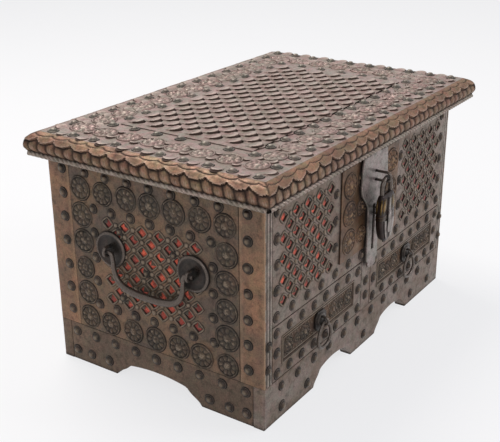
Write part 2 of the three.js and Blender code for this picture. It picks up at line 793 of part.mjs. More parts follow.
// A square plate with clipped corners, and the staple riveted to it
function ringPlate(side) {
  const half = ringPlateSize / 2;
  const clip = half - ringPlateCorner;
  const shape = new THREE.Shape([
    new THREE.Vector2(-half, -clip), new THREE.Vector2(-clip, -half),
    new THREE.Vector2(clip, -half), new THREE.Vector2(half, -clip),
    new THREE.Vector2(half, clip), new THREE.Vector2(clip, half),
    new THREE.Vector2(-clip, half), new THREE.Vector2(-half, clip),
  ]);
  const back = plate(shape, sheetThickness, -seatGap);
  const foot = seatGap + sheetThickness / 2;
  const eye = wireEye(foot, ringEyeProud - foot, ringEyeHoleRadius, ringEyeWireRadius);
  return onFace(back.add(eye).translate(side * drawerCentre, 0, ringHeight), 'front');
}

// A pear-shaped drop ring, narrow where it hangs
function dropRing(side) {
  const points = Array.from({ length: ringSteps }, (_, i) => {
    const angle = 2 * Math.PI * i / ringSteps;
    const down = (1 - Math.cos(angle)) / 2;
    const width = ringHalfWidth * Math.sin(angle) * (1 + down) / Math.SQRT2;
    return new THREE.Vector3(width, 0, -ringLength * down);
  });
  const ring = bar(points, points.map(() => ringWireRadius), new THREE.Vector3(0, 1, 0),
    barSides, true);
  return onFace(ring.translate(side * drawerCentre, -ringEyeProud, ringHeight - ringRestDrop),
    'front');
}

// Lid
function mitredRing(section, halfX, halfY) {
  const corners = [[-1, -1], [1, -1], [1, 1], [-1, 1]];
  const positions = [];
  for (const [inset, height] of section) {
    for (const [x, y] of corners) positions.push(x * (halfX - inset), y * (halfY - inset), height);
  }
  const index = [];
  section.forEach((_, i) => {
    const next = (i + 1) % section.length;
    for (let k = 0; k < corners.length; k++) {
      const other = (k + 1) % corners.length;
      const a = i * corners.length + k;
      const b = i * corners.length + other;
      const c = next * corners.length + k;
      const d = next * corners.length + other;
      index.push(a, b, c, b, d, c);
    }
  });
  const geometry = new THREE.BufferGeometry();
  geometry.setAttribute('position', new THREE.Float32BufferAttribute(positions, 3));
  geometry.setIndex(index);
  return solidOf(geometry);
}

// The moulding stands round the upper part of the lid, above a rebate that is flush with the body
function lidMoulding() {
  const rise = lidHeight - lidRebateHeight;
  const section = mouldingShares.map(([inset, height]) => [inset * mouldingWidth, height * rise]);
  return mitredRing(section, lidHalfWidth, lidHalfDepth).translate(0, lidCentreY, lidUnderEdge);
}

// The board has a pocket in its underside for each hinge leaf
function lidBoard() {
  const halfX = lidHalfWidth - mouldingWidth - seatGap;
  const halfY = lidHalfDepth - mouldingWidth - seatGap;
  const upper = box(-halfX, halfX, lidCentreY - halfY, lidCentreY + halfY,
    lidUnderEdge, lidTop - sheetThickness - seatGap);
  const lower = box(-halfWidth, halfWidth, -halfDepth, halfDepth, lidBase, lidUnderEdge);
  const pockets = [-1, 1].map((side) => box(
    side * hingePlace - hingeWidth / 2 - seatGap, side * hingePlace + hingeWidth / 2 + seatGap,
    hingeAxisY - hingeLidLeafLength - seatGap, halfDepth + cutOverrun,
    lidBase - cutOverrun, lidBase + hingePocketDepth));
  return upper.add(lower).subtract(joined(pockets));
}

// Sheets on top of the lid are drawn as on a face, then laid flat: z becomes depth
function laidFlat(solid) {
  const geometry = geometryOf(solid);
  const lieBack = new THREE.Matrix4().set(1, 0, 0, 0, 0, 0, 1, 0, 0, -1, 0, 0, 0, 0, 0, 1);
  geometry.applyMatrix4(lieBack);
  geometry.translate(0, lidCentreY, lidTop);
  return solidOf(geometry);
}

function lidSheet() {
  const halfX = lidHalfWidth - mouldingWidth - seatGap;
  const halfY = lidHalfDepth - mouldingWidth - seatGap;
  const fieldX = lidFieldHalfX;
  const fieldY = lidFieldHalfY;
  const sheet = box(-halfX, halfX, 0, sheetThickness, -halfY, halfY)
    .subtract(box(-fieldX, fieldX, -cutOverrun, sheetThickness + cutOverrun, -fieldY, fieldY));
  const edge = ringPlaces(lidHalfWidth - lidSideNailInset, lidHalfDepth - lidLongNailInset,
    lidEdgeNailsAlong, lidEdgeNailsAcross, 0);
  const inner = ringPlaces(fieldX + lidFieldNailMargin, fieldY + lidFieldNailMargin,
    lidFieldNailsAlong, lidFieldNailsAcross, 0);
  return laidFlat(withNails(sheet, [...edge, ...inner]));
}

function lidField() {
  const halfX = lidFieldHalfX - seatGap;
  const halfY = lidFieldHalfY - seatGap;
  return laidFlat(box(-halfX, halfX,
    sheetThickness - lidFieldThickness, sheetThickness, -halfY, halfY));
}

// A hinge's knuckles lie along x: the middle third on the lid's leaf, the rest on the back's leaf
function hingeBackLeaf(side) {
  const third = hingeWidth / 3;
  const half = hingeWidth / 2;
  const bore = hingePinRadius + pinClearance;
  const knuckles = [
    tube(-half, -third / 2 - knuckleGap, hingeKnuckleRadius, bore, knuckleSegments),
    tube(third / 2 + knuckleGap, half, hingeKnuckleRadius, bore, knuckleSegments),
  ];
  const leafBack = halfDepth + seatGap;
  const leaf = box(-half, half, leafBack, leafBack + hingeLeafThickness,
    hingeAxisZ - hingeBackLeafLength, hingeAxisZ)
    .subtract(box(-third / 2 - knuckleGap, third / 2 + knuckleGap, leafBack - cutOverrun,
      leafBack + hingeLeafThickness + cutOverrun,
      hingeAxisZ - hingeKnuckleRadius - knuckleGap, hingeAxisZ + cutOverrun));
  return joined([leaf, ...knuckles.map((piece) => piece.translate(0, hingeAxisY, hingeAxisZ))])
    .translate(side * hingePlace, 0, 0);
}

function hingeLidLeaf(side) {
  const third = hingeWidth / 3;
  const half = hingeWidth / 2;
  const bore = hingePinRadius + pinClearance;
  const knuckle = tube(-third / 2, third / 2, hingeKnuckleRadius, bore, knuckleSegments)
    .translate(0, hingeAxisY, hingeAxisZ);
  const leafZ = lidBase + seatGap;
  const leaf = box(-half, half, hingeAxisY - hingeLidLeafLength, hingeAxisY,
    leafZ, leafZ + hingeLeafThickness);
  const web = box(-third / 2, third / 2, hingeAxisY - hingeLeafThickness, hingeAxisY,
    hingeAxisZ + (bore + hingeKnuckleRadius) / 2, leafZ + hingeLeafThickness);
  return joined([leaf, web, knuckle]).translate(side * hingePlace, 0, 0);
}

function headedPin(halfLength, radius, headRadius) {
  const shaft = rod(-halfLength, halfLength, radius, knuckleSegments);
  const heads = [-1, 1].map((side) => {
    const near = side * halfLength;
    const far = side * (halfLength + pinHeadThickness);
    return rod(Math.min(near, far), Math.max(near, far), headRadius, knuckleSegments);
  });
  return joined([shaft, ...heads]);
}

function hingePin(side) {
  return headedPin(hingeWidth / 2 + seatGap, hingePinRadius, pinHeadRadius)
    .translate(side * hingePlace, hingeAxisY, hingeAxisZ);
}

// Hasp: its leaf under the moulding, the pin, and the plate that narrows to a slotted tongue
function haspLeaf() {
  const half = haspLeafWidth / 2;
  const inner = haspKnuckleWidth / 2 + knuckleGap;
  const bore = haspPinRadius + pinClearance;
  const leafTop = lidUnderEdge - seatGap;
  const leafBottom = leafTop - haspLeafThickness;
  const leafBack = -halfDepth - seatGap;
  const pieces = [box(-half, half, leafBack - haspLeafLength, leafBack, leafBottom, leafTop)];
  for (const [x0, x1] of [[-half, -inner], [inner, half]]) {
    pieces.push(tube(x0, x1, haspKnuckleRadius, bore, knuckleSegments)
      .translate(0, haspAxisY, haspAxisZ));
    pieces.push(box(x0, x1, haspAxisY - haspThickness / 2, haspAxisY + haspThickness / 2,
      haspAxisZ + (bore + haspKnuckleRadius) / 2, leafTop - seatGap));
  }
  return joined(pieces);
}

function haspPin() {
  return headedPin(haspLeafWidth / 2 + seatGap, haspPinRadius, pinHeadRadius)
    .translate(0, haspAxisY, haspAxisZ);
}

// The outline from the top right, down round the tip and up the left side
function haspOutline(top) {
  const belly = haspShareHeight(haspBellyShare);
  const neck = haspShareHeight(haspNeckShare);
  const midNeck = (belly + neck) / 2;
  const midTop = (top + belly) / 2;
  const shoulder = drawerTopHeight;
  const tip = shoulder - haspTipDrop;
  const tipTop = tip + haspTipRound;
  const shape = new THREE.Shape();
  shape.moveTo(haspTopHalfWidth, top);
  shape.quadraticCurveTo(haspBellyHalfWidth, midTop, haspBellyHalfWidth, belly);
  shape.bezierCurveTo(haspBellyHalfWidth, midNeck, haspTongueHalfWidth, midNeck,
    haspTongueHalfWidth, neck);
  shape.lineTo(haspTongueHalfWidth, shoulder + haspTipRound);
  shape.quadraticCurveTo(haspTongueHalfWidth, shoulder, haspTipHalfWidth, shoulder);
  shape.lineTo(haspTipHalfWidth, tipTop);
  shape.quadraticCurveTo(haspTipHalfWidth, tip, 0, tip);
  shape.quadraticCurveTo(-haspTipHalfWidth, tip, -haspTipHalfWidth, tipTop);
  shape.lineTo(-haspTipHalfWidth, shoulder);
  shape.quadraticCurveTo(-haspTongueHalfWidth, shoulder,
    -haspTongueHalfWidth, shoulder + haspTipRound);
  shape.lineTo(-haspTongueHalfWidth, neck);
  shape.bezierCurveTo(-haspTongueHalfWidth, midNeck, -haspBellyHalfWidth, midNeck,
    -haspBellyHalfWidth, belly);
  shape.quadraticCurveTo(-haspBellyHalfWidth, midTop, -haspTopHalfWidth, top);
  shape.closePath();
  return shape;
}

function haspPlate() {
  const bore = haspPinRadius + pinClearance;
  const top = haspAxisZ - haspShoulderDrop;
  const flat = plate(haspOutline(top), haspThickness, -haspProud, haspCurveSteps);
  const neck = box(-haspKnuckleWidth / 2, haspKnuckleWidth / 2, -haspFront, -haspProud,
    top - cutOverrun, haspAxisZ - (bore + haspKnuckleRadius) / 2);
  const knuckle = tube(-haspKnuckleWidth / 2, haspKnuckleWidth / 2, haspKnuckleRadius, bore,
    knuckleSegments).translate(0, -haspProud - haspThickness / 2, haspAxisZ);
  const slot = box(-haspSlotHalfWidth, haspSlotHalfWidth, -haspFront - cutOverrun,
    -haspProud + cutOverrun, haspShareHeight(haspSlotBottomShare), keeperHeight + haspSlotRoom);
  return onFace(joined([flat, neck, knuckle]).subtract(slot), 'front');
}

function haspEye() {
  const eye = wireEye(haspFront + seatGap, eyeReach, eyeHoleRadius, eyeWireRadius);
  return onFace(eye.translate(0, 0, eyeHeight), 'front');
}

function keeperStaple() {
  const back = seatGap + sheetThickness + seatGap;
  const foot = box(-keeperFootWidth / 2, keeperFootWidth / 2, -back - sheetThickness, -back,
    -keeperFootHeight / 2, keeperFootHeight / 2);
  const eye = wireEye(back + sheetThickness / 2, keeperReach + sheetThickness / 2,
    keeperHoleRadius, keeperWireRadius);
  return onFace(foot.add(eye).translate(0, 0, keeperHeight), 'front');
}

// Padlock
function padlockShackle() {
  const points = [new THREE.Vector3(-shackleHalfWidth, 0, -lockTopDrop - shortLegDepth + legEndRoom)];
  for (let i = 0; i <= shackleArcSteps; i++) {
    const angle = Math.PI * (1 - i / shackleArcSteps);
    points.push(new THREE.Vector3(shackleHalfWidth * Math.cos(angle), 0,
      shackleHalfWidth * (Math.sin(angle) - 1)));
  }
  points.push(new THREE.Vector3(shackleHalfWidth, 0, -lockTopDrop - longLegDepth + legEndRoom));
  const shape = bar(points, points.map(() => shackleWireRadius), new THREE.Vector3(0, 1, 0),
    barSides);
  return onFace(shape.translate(0, -shackleProud, shackleTop), 'front');
}

function lockOutline() {
  const shoulder = lockHalfWidth - lockBevel;
  const shape = new THREE.Shape();
  const low = -lockHeight + lockBevel;
  const wide = -lockHeight * lockWaistShare;
  const taper = low * lockTaperShare;
  shape.moveTo(-shoulder, -lockBevel);
  shape.quadraticCurveTo(-shoulder - lockBevel / 2, wide / 2, -shoulder, wide);
  shape.bezierCurveTo(-shoulder, taper, -shoulder / 2, low, 0, low);
  shape.bezierCurveTo(shoulder / 2, low, shoulder, taper, shoulder, wide);
  shape.quadraticCurveTo(shoulder + lockBevel / 2, wide / 2, shoulder, -lockBevel);
  shape.closePath();
  return shape;
}

function padlockBody() {
  const geometry = new THREE.ExtrudeGeometry(lockOutline(), {
    depth: lockThickness - 2 * lockBevel,
    bevelThickness: lockBevel,
    bevelSize: lockBevel,
    bevelSegments: 1,
    curveSegments: lockCurveSteps,
  });
  geometry.applyMatrix4(standUp);
  geometry.translate(0, lockThickness / 2 - lockBevel, 0);
  let body = solidOf(geometry);
  const legs = [[-shackleHalfWidth, shortLegDepth], [shackleHalfWidth, longLegDepth]];
  for (const [x, depth] of legs) {
    body = body.subtract(uprightRod(x, 0, -depth, cutOverrun, lockHoleRadius));
  }
  const front = -lockThickness / 2;
  const pivotHole = turned([
    [-cutOverrun, 0], [-cutOverrun, keyPivotRadius + pinClearance],
    [keyPivotDepth + seatGap, keyPivotRadius + pinClearance], [keyPivotDepth + seatGap, 0],
  ], knuckleSegments).scale([1, -1, 1]);
  const keyHole = turned([
    [-cutOverrun, 0], [-cutOverrun, keyHoleRadius], [keyHoleDepth, keyHoleRadius], [keyHoleDepth, 0],
  ], knuckleSegments).scale([1, -1, 1]);
  body = body
    .subtract(pivotHole.translate(0, front, -keyCoverTopDrop))
    .subtract(keyHole.translate(0, front, -keyCoverTopDrop - keyCoverLength + 2 * keyCoverRadius));
  return onFace(body.translate(0, -shackleProud, lockTop), 'front');
}

// A drop-shaped cover that swings aside from the keyhole on its own pin
function keyholeCover() {
  const shape = new THREE.Shape();
  const low = -keyCoverLength + 2 * keyCoverRadius;
  shape.absarc(0, 0, keyCoverRadius, 0, Math.PI, false);
  shape.quadraticCurveTo(-keyCoverRadius, low / 2, -keyCoverRadius * Math.SQRT2, low);
  shape.absarc(0, low, keyCoverRadius * Math.SQRT2, Math.PI, 2 * Math.PI, false);
  shape.quadraticCurveTo(keyCoverRadius, low / 2, keyCoverRadius, 0);
  const front = lockThickness / 2 + seatGap;
  const flat = plate(shape, keyCoverThickness, -front, lockCurveSteps);
  const pin = turned([
    [-keyPivotDepth - seatGap, 0], [-keyPivotDepth - seatGap, keyPivotRadius],
    [keyCoverThickness / 2, keyPivotRadius], [keyCoverThickness / 2, 0],
  ], knuckleSegments).translate(0, -front, 0);
  return onFace(flat.add(pin).translate(0, -shackleProud, lockTop - keyCoverTopDrop), 'front');
}

// Assembly
const strongbox = new THREE.Group();

function addPiece(name, solid, finish) {
  const mesh = new THREE.Mesh(geometryOf(solid), new THREE.MeshStandardMaterial(finish));
  mesh.name = name;
  strongbox.add(mesh);
}

const sides = { left: -1, right: 1 };

addPiece('back_board', backBoard(), darkWood);
addPiece('front_board', frontBoard(), darkWood);
addPiece('compartment_floor', compartmentFloor(), darkWood);
addPiece('base_board', baseBoard(), darkWood);
addPiece('drawer_divider', drawerDivider(), darkWood);
addPiece('plinth_front', longPlinth('front'), ironGrey);
addPiece('plinth_back', longPlinth('back'), ironGrey);
addPiece('back_sheet', backSheet(), ironBrown);
addPiece('front_sheet', frontSheet(), ironGrey);
addPiece('front_cloth', frontCloth(), redCloth);
addPiece('lock_plate', lockPlate(), copperBrown);

for (const [name, side] of Object.entries(sides)) {
  addPiece(`${name}_end_board`, endBoard(side), darkWood);
  addPiece(`plinth_${name}`, endPlinth(name), ironBrown);
  addPiece(`${name}_end_sheet`, endSheet(name), ironBrown);
  addPiece(`${name}_end_cloth`, endCloth(name), redCloth);
  addPiece(`corner_iron_front_${name}`, cornerIron(side, 1), ironBrown);
  addPiece(`corner_iron_back_${name}`, cornerIron(side, -1), ironBrown);
  for (const [place, along] of [['front', -side], ['back', side]]) {
    addPiece(`${name}_handle_plate_${place}`, handlePlate(name, along), ironDark);
    addPiece(`${name}_handle_staple_${place}`, handleStaple(name, along), ironDark);
  }
  addPiece(`${name}_bail`, bail(name), ironDark);
  addPiece(`${name}_drawer_box`, drawerBox(side), darkWood);
  addPiece(`${name}_drawer_sheet`, drawerSheet(side), ironGrey);
  addPiece(`${name}_ring_plate`, ringPlate(side), ironDark);
  addPiece(`${name}_drawer_ring`, dropRing(side), ironDark);
  addPiece(`${name}_hinge_back_leaf`, hingeBackLeaf(side), ironDark);
  addPiece(`${name}_hinge_lid_leaf`, hingeLidLeaf(side), ironDark);
  addPiece(`${name}_hinge_pin`, hingePin(side), steel);
}

addPiece('lid_board', lidBoard(), darkWood);
addPiece('lid_moulding', lidMoulding(), copperBrown);
addPiece('lid_sheet', lidSheet(), copperBrown);
addPiece('lid_field', lidField(), copperBrown);
addPiece('hasp_leaf', haspLeaf(), steel);
addPiece('hasp_pin', haspPin(), steel);
addPiece('hasp_plate', haspPlate(), steel);
addPiece('hasp_eye', haspEye(), steel);
addPiece('keeper_staple', keeperStaple(), ironDark);
addPiece('padlock_shackle', padlockShackle(), steel);
addPiece('padlock_body', padlockBody(), bronze);
addPiece('keyhole_cover', keyholeCover(), steel);

// The origin is under the middle of the whole box's outline
const outline = new THREE.Box3().setFromObject(strongbox);
strongbox.position.y = -(outline.min.y + outline.max.y) / 2;
strongbox.updateMatrixWorld(true);

export default strongbox;
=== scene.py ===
"""The looks of an iron-clad strongbox: pierced sheet iron over red cloth, domed nails, an embossed lid."""
import math
import random

import bmesh
import bpy
from mathutils import Matrix, Vector, noise


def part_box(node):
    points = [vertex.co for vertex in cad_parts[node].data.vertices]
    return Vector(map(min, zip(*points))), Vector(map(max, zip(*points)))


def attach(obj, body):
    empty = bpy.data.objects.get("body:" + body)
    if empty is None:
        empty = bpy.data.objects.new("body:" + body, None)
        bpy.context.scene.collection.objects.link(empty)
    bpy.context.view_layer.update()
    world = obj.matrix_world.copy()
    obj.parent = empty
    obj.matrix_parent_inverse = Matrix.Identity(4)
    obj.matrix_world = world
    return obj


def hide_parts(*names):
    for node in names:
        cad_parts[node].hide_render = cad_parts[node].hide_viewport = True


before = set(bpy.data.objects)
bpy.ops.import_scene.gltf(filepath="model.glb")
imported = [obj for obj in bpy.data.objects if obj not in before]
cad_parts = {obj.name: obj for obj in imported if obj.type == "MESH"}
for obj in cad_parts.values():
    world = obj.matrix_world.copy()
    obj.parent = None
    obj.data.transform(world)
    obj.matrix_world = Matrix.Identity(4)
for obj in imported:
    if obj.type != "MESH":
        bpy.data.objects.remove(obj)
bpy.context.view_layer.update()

bl_info = {
    "name": "Iron strongbox",
    "version": (1, 0, 0),
    "blender": (4, 5, 0),
    "location": "View3D > Sidebar > Strongbox",
    "description": "Dresses the strongbox frame in sheet iron, nails, cloth and forged fittings",
    "category": "Object",
}

MM = 0.001
TURN = 2 * math.pi
# The sheets' thickness and the gap between pieces that touch, in millimetres
SHEET = 1.5
GAP = 0.25
# Edges of plates and boards that turn by more than this stay sharp
SHARP = math.radians(50)


def linear(code):
    """Turns an sRGB hex colour into linear red, green and blue."""
    channels = [(code >> shift & 255) / 255 for shift in (16, 8, 0)]
    return tuple(c / 12.92 if c <= 0.04045 else ((c + 0.055) / 1.055) ** 2.4 for c in channels)


def span(node):
    """A node's lowest and highest corner in millimetres."""
    low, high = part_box(node)
    return low / MM, high / MM


def side(origin, right, up):
    """The matrix from a face's own millimetres (right, up, out) to the frame's metres."""
    right, up = Vector(right), Vector(up)
    turn = Matrix((right, up, right.cross(up))).transposed().to_4x4()
    return Matrix.Translation(Vector(origin) * MM) @ turn @ Matrix.Scale(MM, 4)


# Places read off the frame, in millimetres
END_X = -span("left_end_cloth")[0].x + SHEET + GAP
FRONT_Y = span("front_cloth")[0].y - SHEET - GAP
BACK_Y = span("back_sheet")[0].y + SHEET
BODY_MID = (FRONT_Y + BACK_Y) / 2
SHEET_LOW = span("left_end_sheet")[0].z
SHEET_HIGH = span("left_end_sheet")[1].z
END_HALF = (span("left_end_cloth")[1].y - span("left_end_cloth")[0].y) / 2
FRONT_HALF = span("front_cloth")[1].x
FRONT_LOW = span("front_cloth")[0].z
PLINTH_TOP = span("plinth_front")[1].z
LID_TOP = span("lid_sheet")[0].z + SHEET
LID_MID = (span("lid_moulding")[0].y + span("lid_moulding")[1].y) / 2
LID_HALF_X = span("lid_moulding")[1].x
LID_HALF_Y = (span("lid_moulding")[1].y - span("lid_moulding")[0].y) / 2
MOULDING_LOW = span("lid_moulding")[0].z

FACES = {
    "front": side((0, FRONT_Y, 0), (1, 0, 0), (0, 0, 1)),
    "left": side((-END_X, BODY_MID, 0), (0, -1, 0), (0, 0, 1)),
    "right": side((END_X, BODY_MID, 0), (0, 1, 0), (0, 0, 1)),
    "back": side((0, BACK_Y, 0), (-1, 0, 0), (0, 0, 1)),
    "top": side((0, LID_MID, LID_TOP), (1, 0, 0), (0, 1, 0)),
    "plan": side((0, 0, 0), (1, 0, 0), (0, 1, 0)),
}


class StrongboxSizes(bpy.types.PropertyGroup):
    """Sizes of the worked iron that a user may change."""

    nail_radius: bpy.props.FloatProperty(
        name="Nail radius", description="Radius of a domed nail head over its brim",
        default=5.5 * MM, min=2 * MM, max=9 * MM, unit="LENGTH", precision=4)
    nail_height: bpy.props.FloatProperty(
        name="Nail height", description="How far a nail head stands out of the sheet",
        default=3.5 * MM, min=1 * MM, max=6 * MM, unit="LENGTH", precision=4)
    rosette_radius: bpy.props.FloatProperty(
        name="Rosette radius", description="Radius of a stamped rosette over its rolled rim",
        default=13.4 * MM, min=5 * MM, max=20 * MM, unit="LENGTH", precision=4)
    rosette_height: bpy.props.FloatProperty(
        name="Rosette height", description="Height of a stamped rosette at its hub",
        default=2.6 * MM, min=0.3 * MM, max=4 * MM, unit="LENGTH", precision=4)
    tongue_rise: bpy.props.FloatProperty(
        name="Tongue rise", description="How far a lifted tongue of the lid field stands open",
        default=2.2 * MM, min=0.5 * MM, max=4 * MM, unit="LENGTH", precision=4)
    petal_depth: bpy.props.FloatProperty(
        name="Petal depth", description="Depth of the cuts between the petals of the lid's edge",
        default=1.8 * MM, min=0.2 * MM, max=3 * MM, unit="LENGTH", precision=4)


class StrongboxColours(bpy.types.PropertyGroup):
    """Colours of the finishes that a user may change."""

    end_iron: bpy.props.FloatVectorProperty(
        name="End iron", description="Browned sheet iron of the two ends",
        subtype="COLOR", size=3, min=0, max=1, default=linear(0x745A42))
    front_iron: bpy.props.FloatVectorProperty(
        name="Front iron", description="Greyer sheet iron of the front, its drawers and its plinth board",
        subtype="COLOR", size=3, min=0, max=1, default=linear(0x7C6E64))
    lid_iron: bpy.props.FloatVectorProperty(
        name="Lid iron", description="Rubbed, lighter sheet iron of the lid",
        subtype="COLOR", size=3, min=0, max=1, default=linear(0x90817A))
    edge_iron: bpy.props.FloatVectorProperty(
        name="Lid edge", description="Coppery iron of the embossed lid edge",
        subtype="COLOR", size=3, min=0, max=1, default=linear(0x86694F))
    nail_iron: bpy.props.FloatVectorProperty(
        name="Nail iron", description="Dark forged iron of the nail heads",
        subtype="COLOR", size=3, min=0, max=1, default=linear(0x4A3D33))
    cloth: bpy.props.FloatVectorProperty(
        name="Cloth", description="Red cloth behind the pierced panels",
        subtype="COLOR", size=3, min=0, max=1, default=linear(0xE65E40))


# Mesh tools

def eased(value, power):
    """A share raised to a power, with anything below zero taken as zero."""
    return max(0.0, value) ** power


class Relief:
    """Worked iron gathered into one mesh: right, up and out of one face, in millimetres."""

    def __init__(self, seed=0):
        self.points = []
        self.shares = []
        self.faces = []
        self.chance = random.Random(seed)

    def add_ring(self, ring):
        """Adds a ring of (u, v, w, share) points and returns their numbers."""
        first = len(self.points)
        for u, v, w, share in ring:
            self.points.append((u, v, w))
            self.shares.append(share)
        return list(range(first, len(self.points)))

    def join_rings(self, outer, inner, closed=True):
        """Fills the band between two rings of as many points, or from a ring to one point."""
        count = len(outer)
        for i in range(count if closed else count - 1):
            j = (i + 1) % count
            if len(inner) == 1:
                self.faces.append((outer[i], outer[j], inner[0]))
            else:
                self.faces.append((outer[i], outer[j], inner[j], inner[i]))

    def add_rings(self, rings, closed=True):
        """Adds rings from the outside in, or rows of a surface, and fills the bands between them."""
        numbers = [self.add_ring(ring) for ring in rings]
        for outer, inner in zip(numbers, numbers[1:]):
            self.join_rings(outer, inner, closed)
        return numbers

    def add_round(self, u, v, radius, profile, sides, lean=0.0, squeeze=0.0, turn=0.0, base=0.0, waves=None):
        """A round boss; profile lists (radius share, height, share), and waves changes height by angle."""
        tilt = self.chance.uniform(0, TURN)
        narrow = 1 + self.chance.uniform(-squeeze, squeeze)
        wide = 1 + self.chance.uniform(-squeeze, squeeze)
        slope = self.chance.uniform(0, lean)
        rings = []
        for radius_share, height, share in profile:
            ring = []
            for i in range(sides if radius_share > 0 else 1):
                angle = TURN * i / sides
                du = radius * radius_share * math.cos(angle)
                dv = radius * radius_share * math.sin(angle)
                w, light_share = height, share
                if waves:
                    w, light_share = waves(radius_share, angle + turn, height, share)
                w += slope * (du * math.cos(tilt) + dv * math.sin(tilt)) / radius * (w > 0)
                ring.append((u + du * wide, v + dv * narrow, base + w, light_share))
            rings.append(ring)
        self.add_rings(rings)

    def add_bar(self, path, radii, normal, sides=12, closed=False, flat=1.0):
        """A bar along a path that lies in a plane with this normal; flat narrows it across the plane."""
        normal = Vector(normal)
        count = len(path)
        rings = []
        for i, point in enumerate(path):
            before = Vector(path[i - 1] if closed or i else path[0])
            after = Vector(path[(i + 1) % count] if closed or i < count - 1 else path[-1])
            across = normal.cross((after - before).normalized())
            ring = []
            for k in range(sides):
                angle = TURN * k / sides
                aside = math.cos(angle) * across + flat * math.sin(angle) * normal
                place = Vector(point) + radii[i] * aside
                ring.append((*place, 1.0))
            rings.append(ring)
        numbers = self.add_rings(rings)
        if closed:
            self.join_rings(numbers[-1], numbers[0])
        else:
            for ring, point in ((numbers[-1], path[-1]), (numbers[0][::-1], path[0])):
                self.join_rings(ring, self.add_ring([(*point, 1.0)]))

    def mesh(self, name, matrix):
        """The gathered mesh in the frame's metres."""
        made = bpy.data.meshes.new(name)
        made.from_pydata([matrix @ Vector(p) for p in self.points], [], self.faces)
        smooth_with_relief(made, self.shares)
        made.validate()
        return made


def smooth_with_relief(mesh, shares):
    """Shades a mesh smooth and keeps how high each point is, from 0 to 1, for the finishes: they paint low
    points dark, as grit and painted shade, and high points light, as wear and a painted highlight.
    """
    relief = mesh.attributes.new("relief", "FLOAT", "POINT")
    relief.data.foreach_set("value", shares)
    mesh.polygons.foreach_set("use_smooth", [True] * len(mesh.polygons))


def plate_mesh(name, loops, low, high, matrix, rounding=0.35, share=0.5):
    """A flat plate with holes and softened edges; loops are outlines in millimetres, in any order."""
    curve = bpy.data.curves.new(name, "CURVE")
    curve.dimensions = "2D"
    curve.fill_mode = "BOTH"
    curve.extrude = (high - low) / 2 - rounding
    curve.bevel_depth = rounding
    curve.bevel_resolution = 1
    curve.offset = -rounding
    for loop in loops:
        spline = curve.splines.new("POLY")
        spline.points.add(len(loop) - 1)
        for point, (u, v) in zip(spline.points, loop):
            point.co = (u, v, 0, 1)
        spline.use_cyclic_u = True
    holder = bpy.data.objects.new(name, curve)
    bpy.context.scene.collection.objects.link(holder)
    graph = bpy.context.evaluated_depsgraph_get()
    made = bpy.data.meshes.new_from_object(holder.evaluated_get(graph))
    bpy.data.objects.remove(holder)
    bpy.data.curves.remove(curve)
    made.transform(matrix @ Matrix.Translation((0, 0, (low + high) / 2)))
    smooth_with_relief(made, [share] * len(made.vertices))
    made.set_sharp_from_angle(angle=SHARP)
    return made


def swept_mesh(relief, name, sharp, weld=0.0):
    """A swept bar's mesh: points within weld millimetres joined, faces turned out, sharp past an angle."""
    made = relief.mesh(name, FACES["plan"])
    work = bmesh.new()
    work.from_mesh(made)
    if weld:
        bmesh.ops.remove_doubles(work, verts=work.verts, dist=weld * MM)
    bmesh.ops.recalc_face_normals(work, faces=work.faces)
    work.to_mesh(made)
    work.free()
    made.set_sharp_from_angle(angle=math.radians(sharp))
    return made


def joined_mesh(name, meshes):
    """One mesh from several."""
    work = bmesh.new()
    for mesh in meshes:
        work.from_mesh(mesh)
    made = bpy.data.meshes.new(name)
    work.to_mesh(made)
    work.free()
    for mesh in meshes:
        bpy.data.meshes.remove(mesh)
    return made


def piece(name, mesh, look, body, replaces=()):
    """Puts a mesh in the scene as one piece with a finish, which moves with a body."""
    mesh.materials.clear()
    mesh.materials.append(finish(look))
    made = bpy.data.objects.new(name, mesh)
    bpy.context.scene.collection.objects.link(made)
    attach(made, body)
    if replaces:
        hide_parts(*replaces)
    return made


# Outlines and places

def rectangle(u0, v0, u1, v1):
    """Four corners, anticlockwise."""
    return [(u0, v0), (u1, v0), (u1, v1), (u0, v1)]


def spaced(count, pitch):
    """Places at a pitch, centred on zero."""
    return [(i - (count - 1) / 2) * pitch for i in range(count)]


def border_places(half_u, half_v, along, across):
    """Places round a rectangle, corners included, centred on zero."""
    places = [(u, v) for u in spaced(along, 2 * half_u / (along - 1)) for v in (-half_v, half_v)]
    sides = spaced(across, 2 * half_v / (across - 1))[1:-1]
    return places + [(u, v) for v in sides for u in (-half_u, half_u)]


def diamond_places(centre_u, centre_v, columns, rows, pitch_u, pitch_v):
    """A lattice whose every other row stands half a pitch over."""
    places = []
    for row, v in enumerate(spaced(rows, pitch_v)):
        for u in spaced(columns if row % 2 == 0 else columns - 1, pitch_u):
            places.append((centre_u + u, centre_v + v))
    return places


def bezier(start, first, second, end, steps):
    """Points of a cubic curve after its start."""
    points = []
    for i in range(1, steps + 1):
        t = i / steps
        s = 1 - t
        points.append(tuple(
            s ** 3 * a + 3 * s * s * t * b + 3 * s * t * t * c + t ** 3 * d
            for a, b, c, d in zip(start, first, second, end)))
    return points


def quadratic(start, middle, end, steps):
    """Points of a quadratic curve after its start."""
    first = tuple(a + (b - a) * 2 / 3 for a, b in zip(start, middle))
    second = tuple(c + (b - c) * 2 / 3 for b, c in zip(middle, end))
    return bezier(start, first, second, end, steps)


def catmull(points, steps):
    """A smooth route through points, with as many steps in each stretch."""
    route = []
    ends = [points[0], *points, points[-1]]
    for a, b, c, d in zip(ends, ends[1:], ends[2:], ends[3:]):
        a, b, c, d = Vector(a), Vector(b), Vector(c), Vector(d)
        for i in range(steps):
            t = i / steps
            route.append(0.5 * (2 * b + (c - a) * t + (2 * a - 5 * b + 4 * c - d) * t * t
                                + (3 * b - a - 3 * c + d) * t ** 3))
    route.append(Vector(points[-1]))
    return route


# Finishes

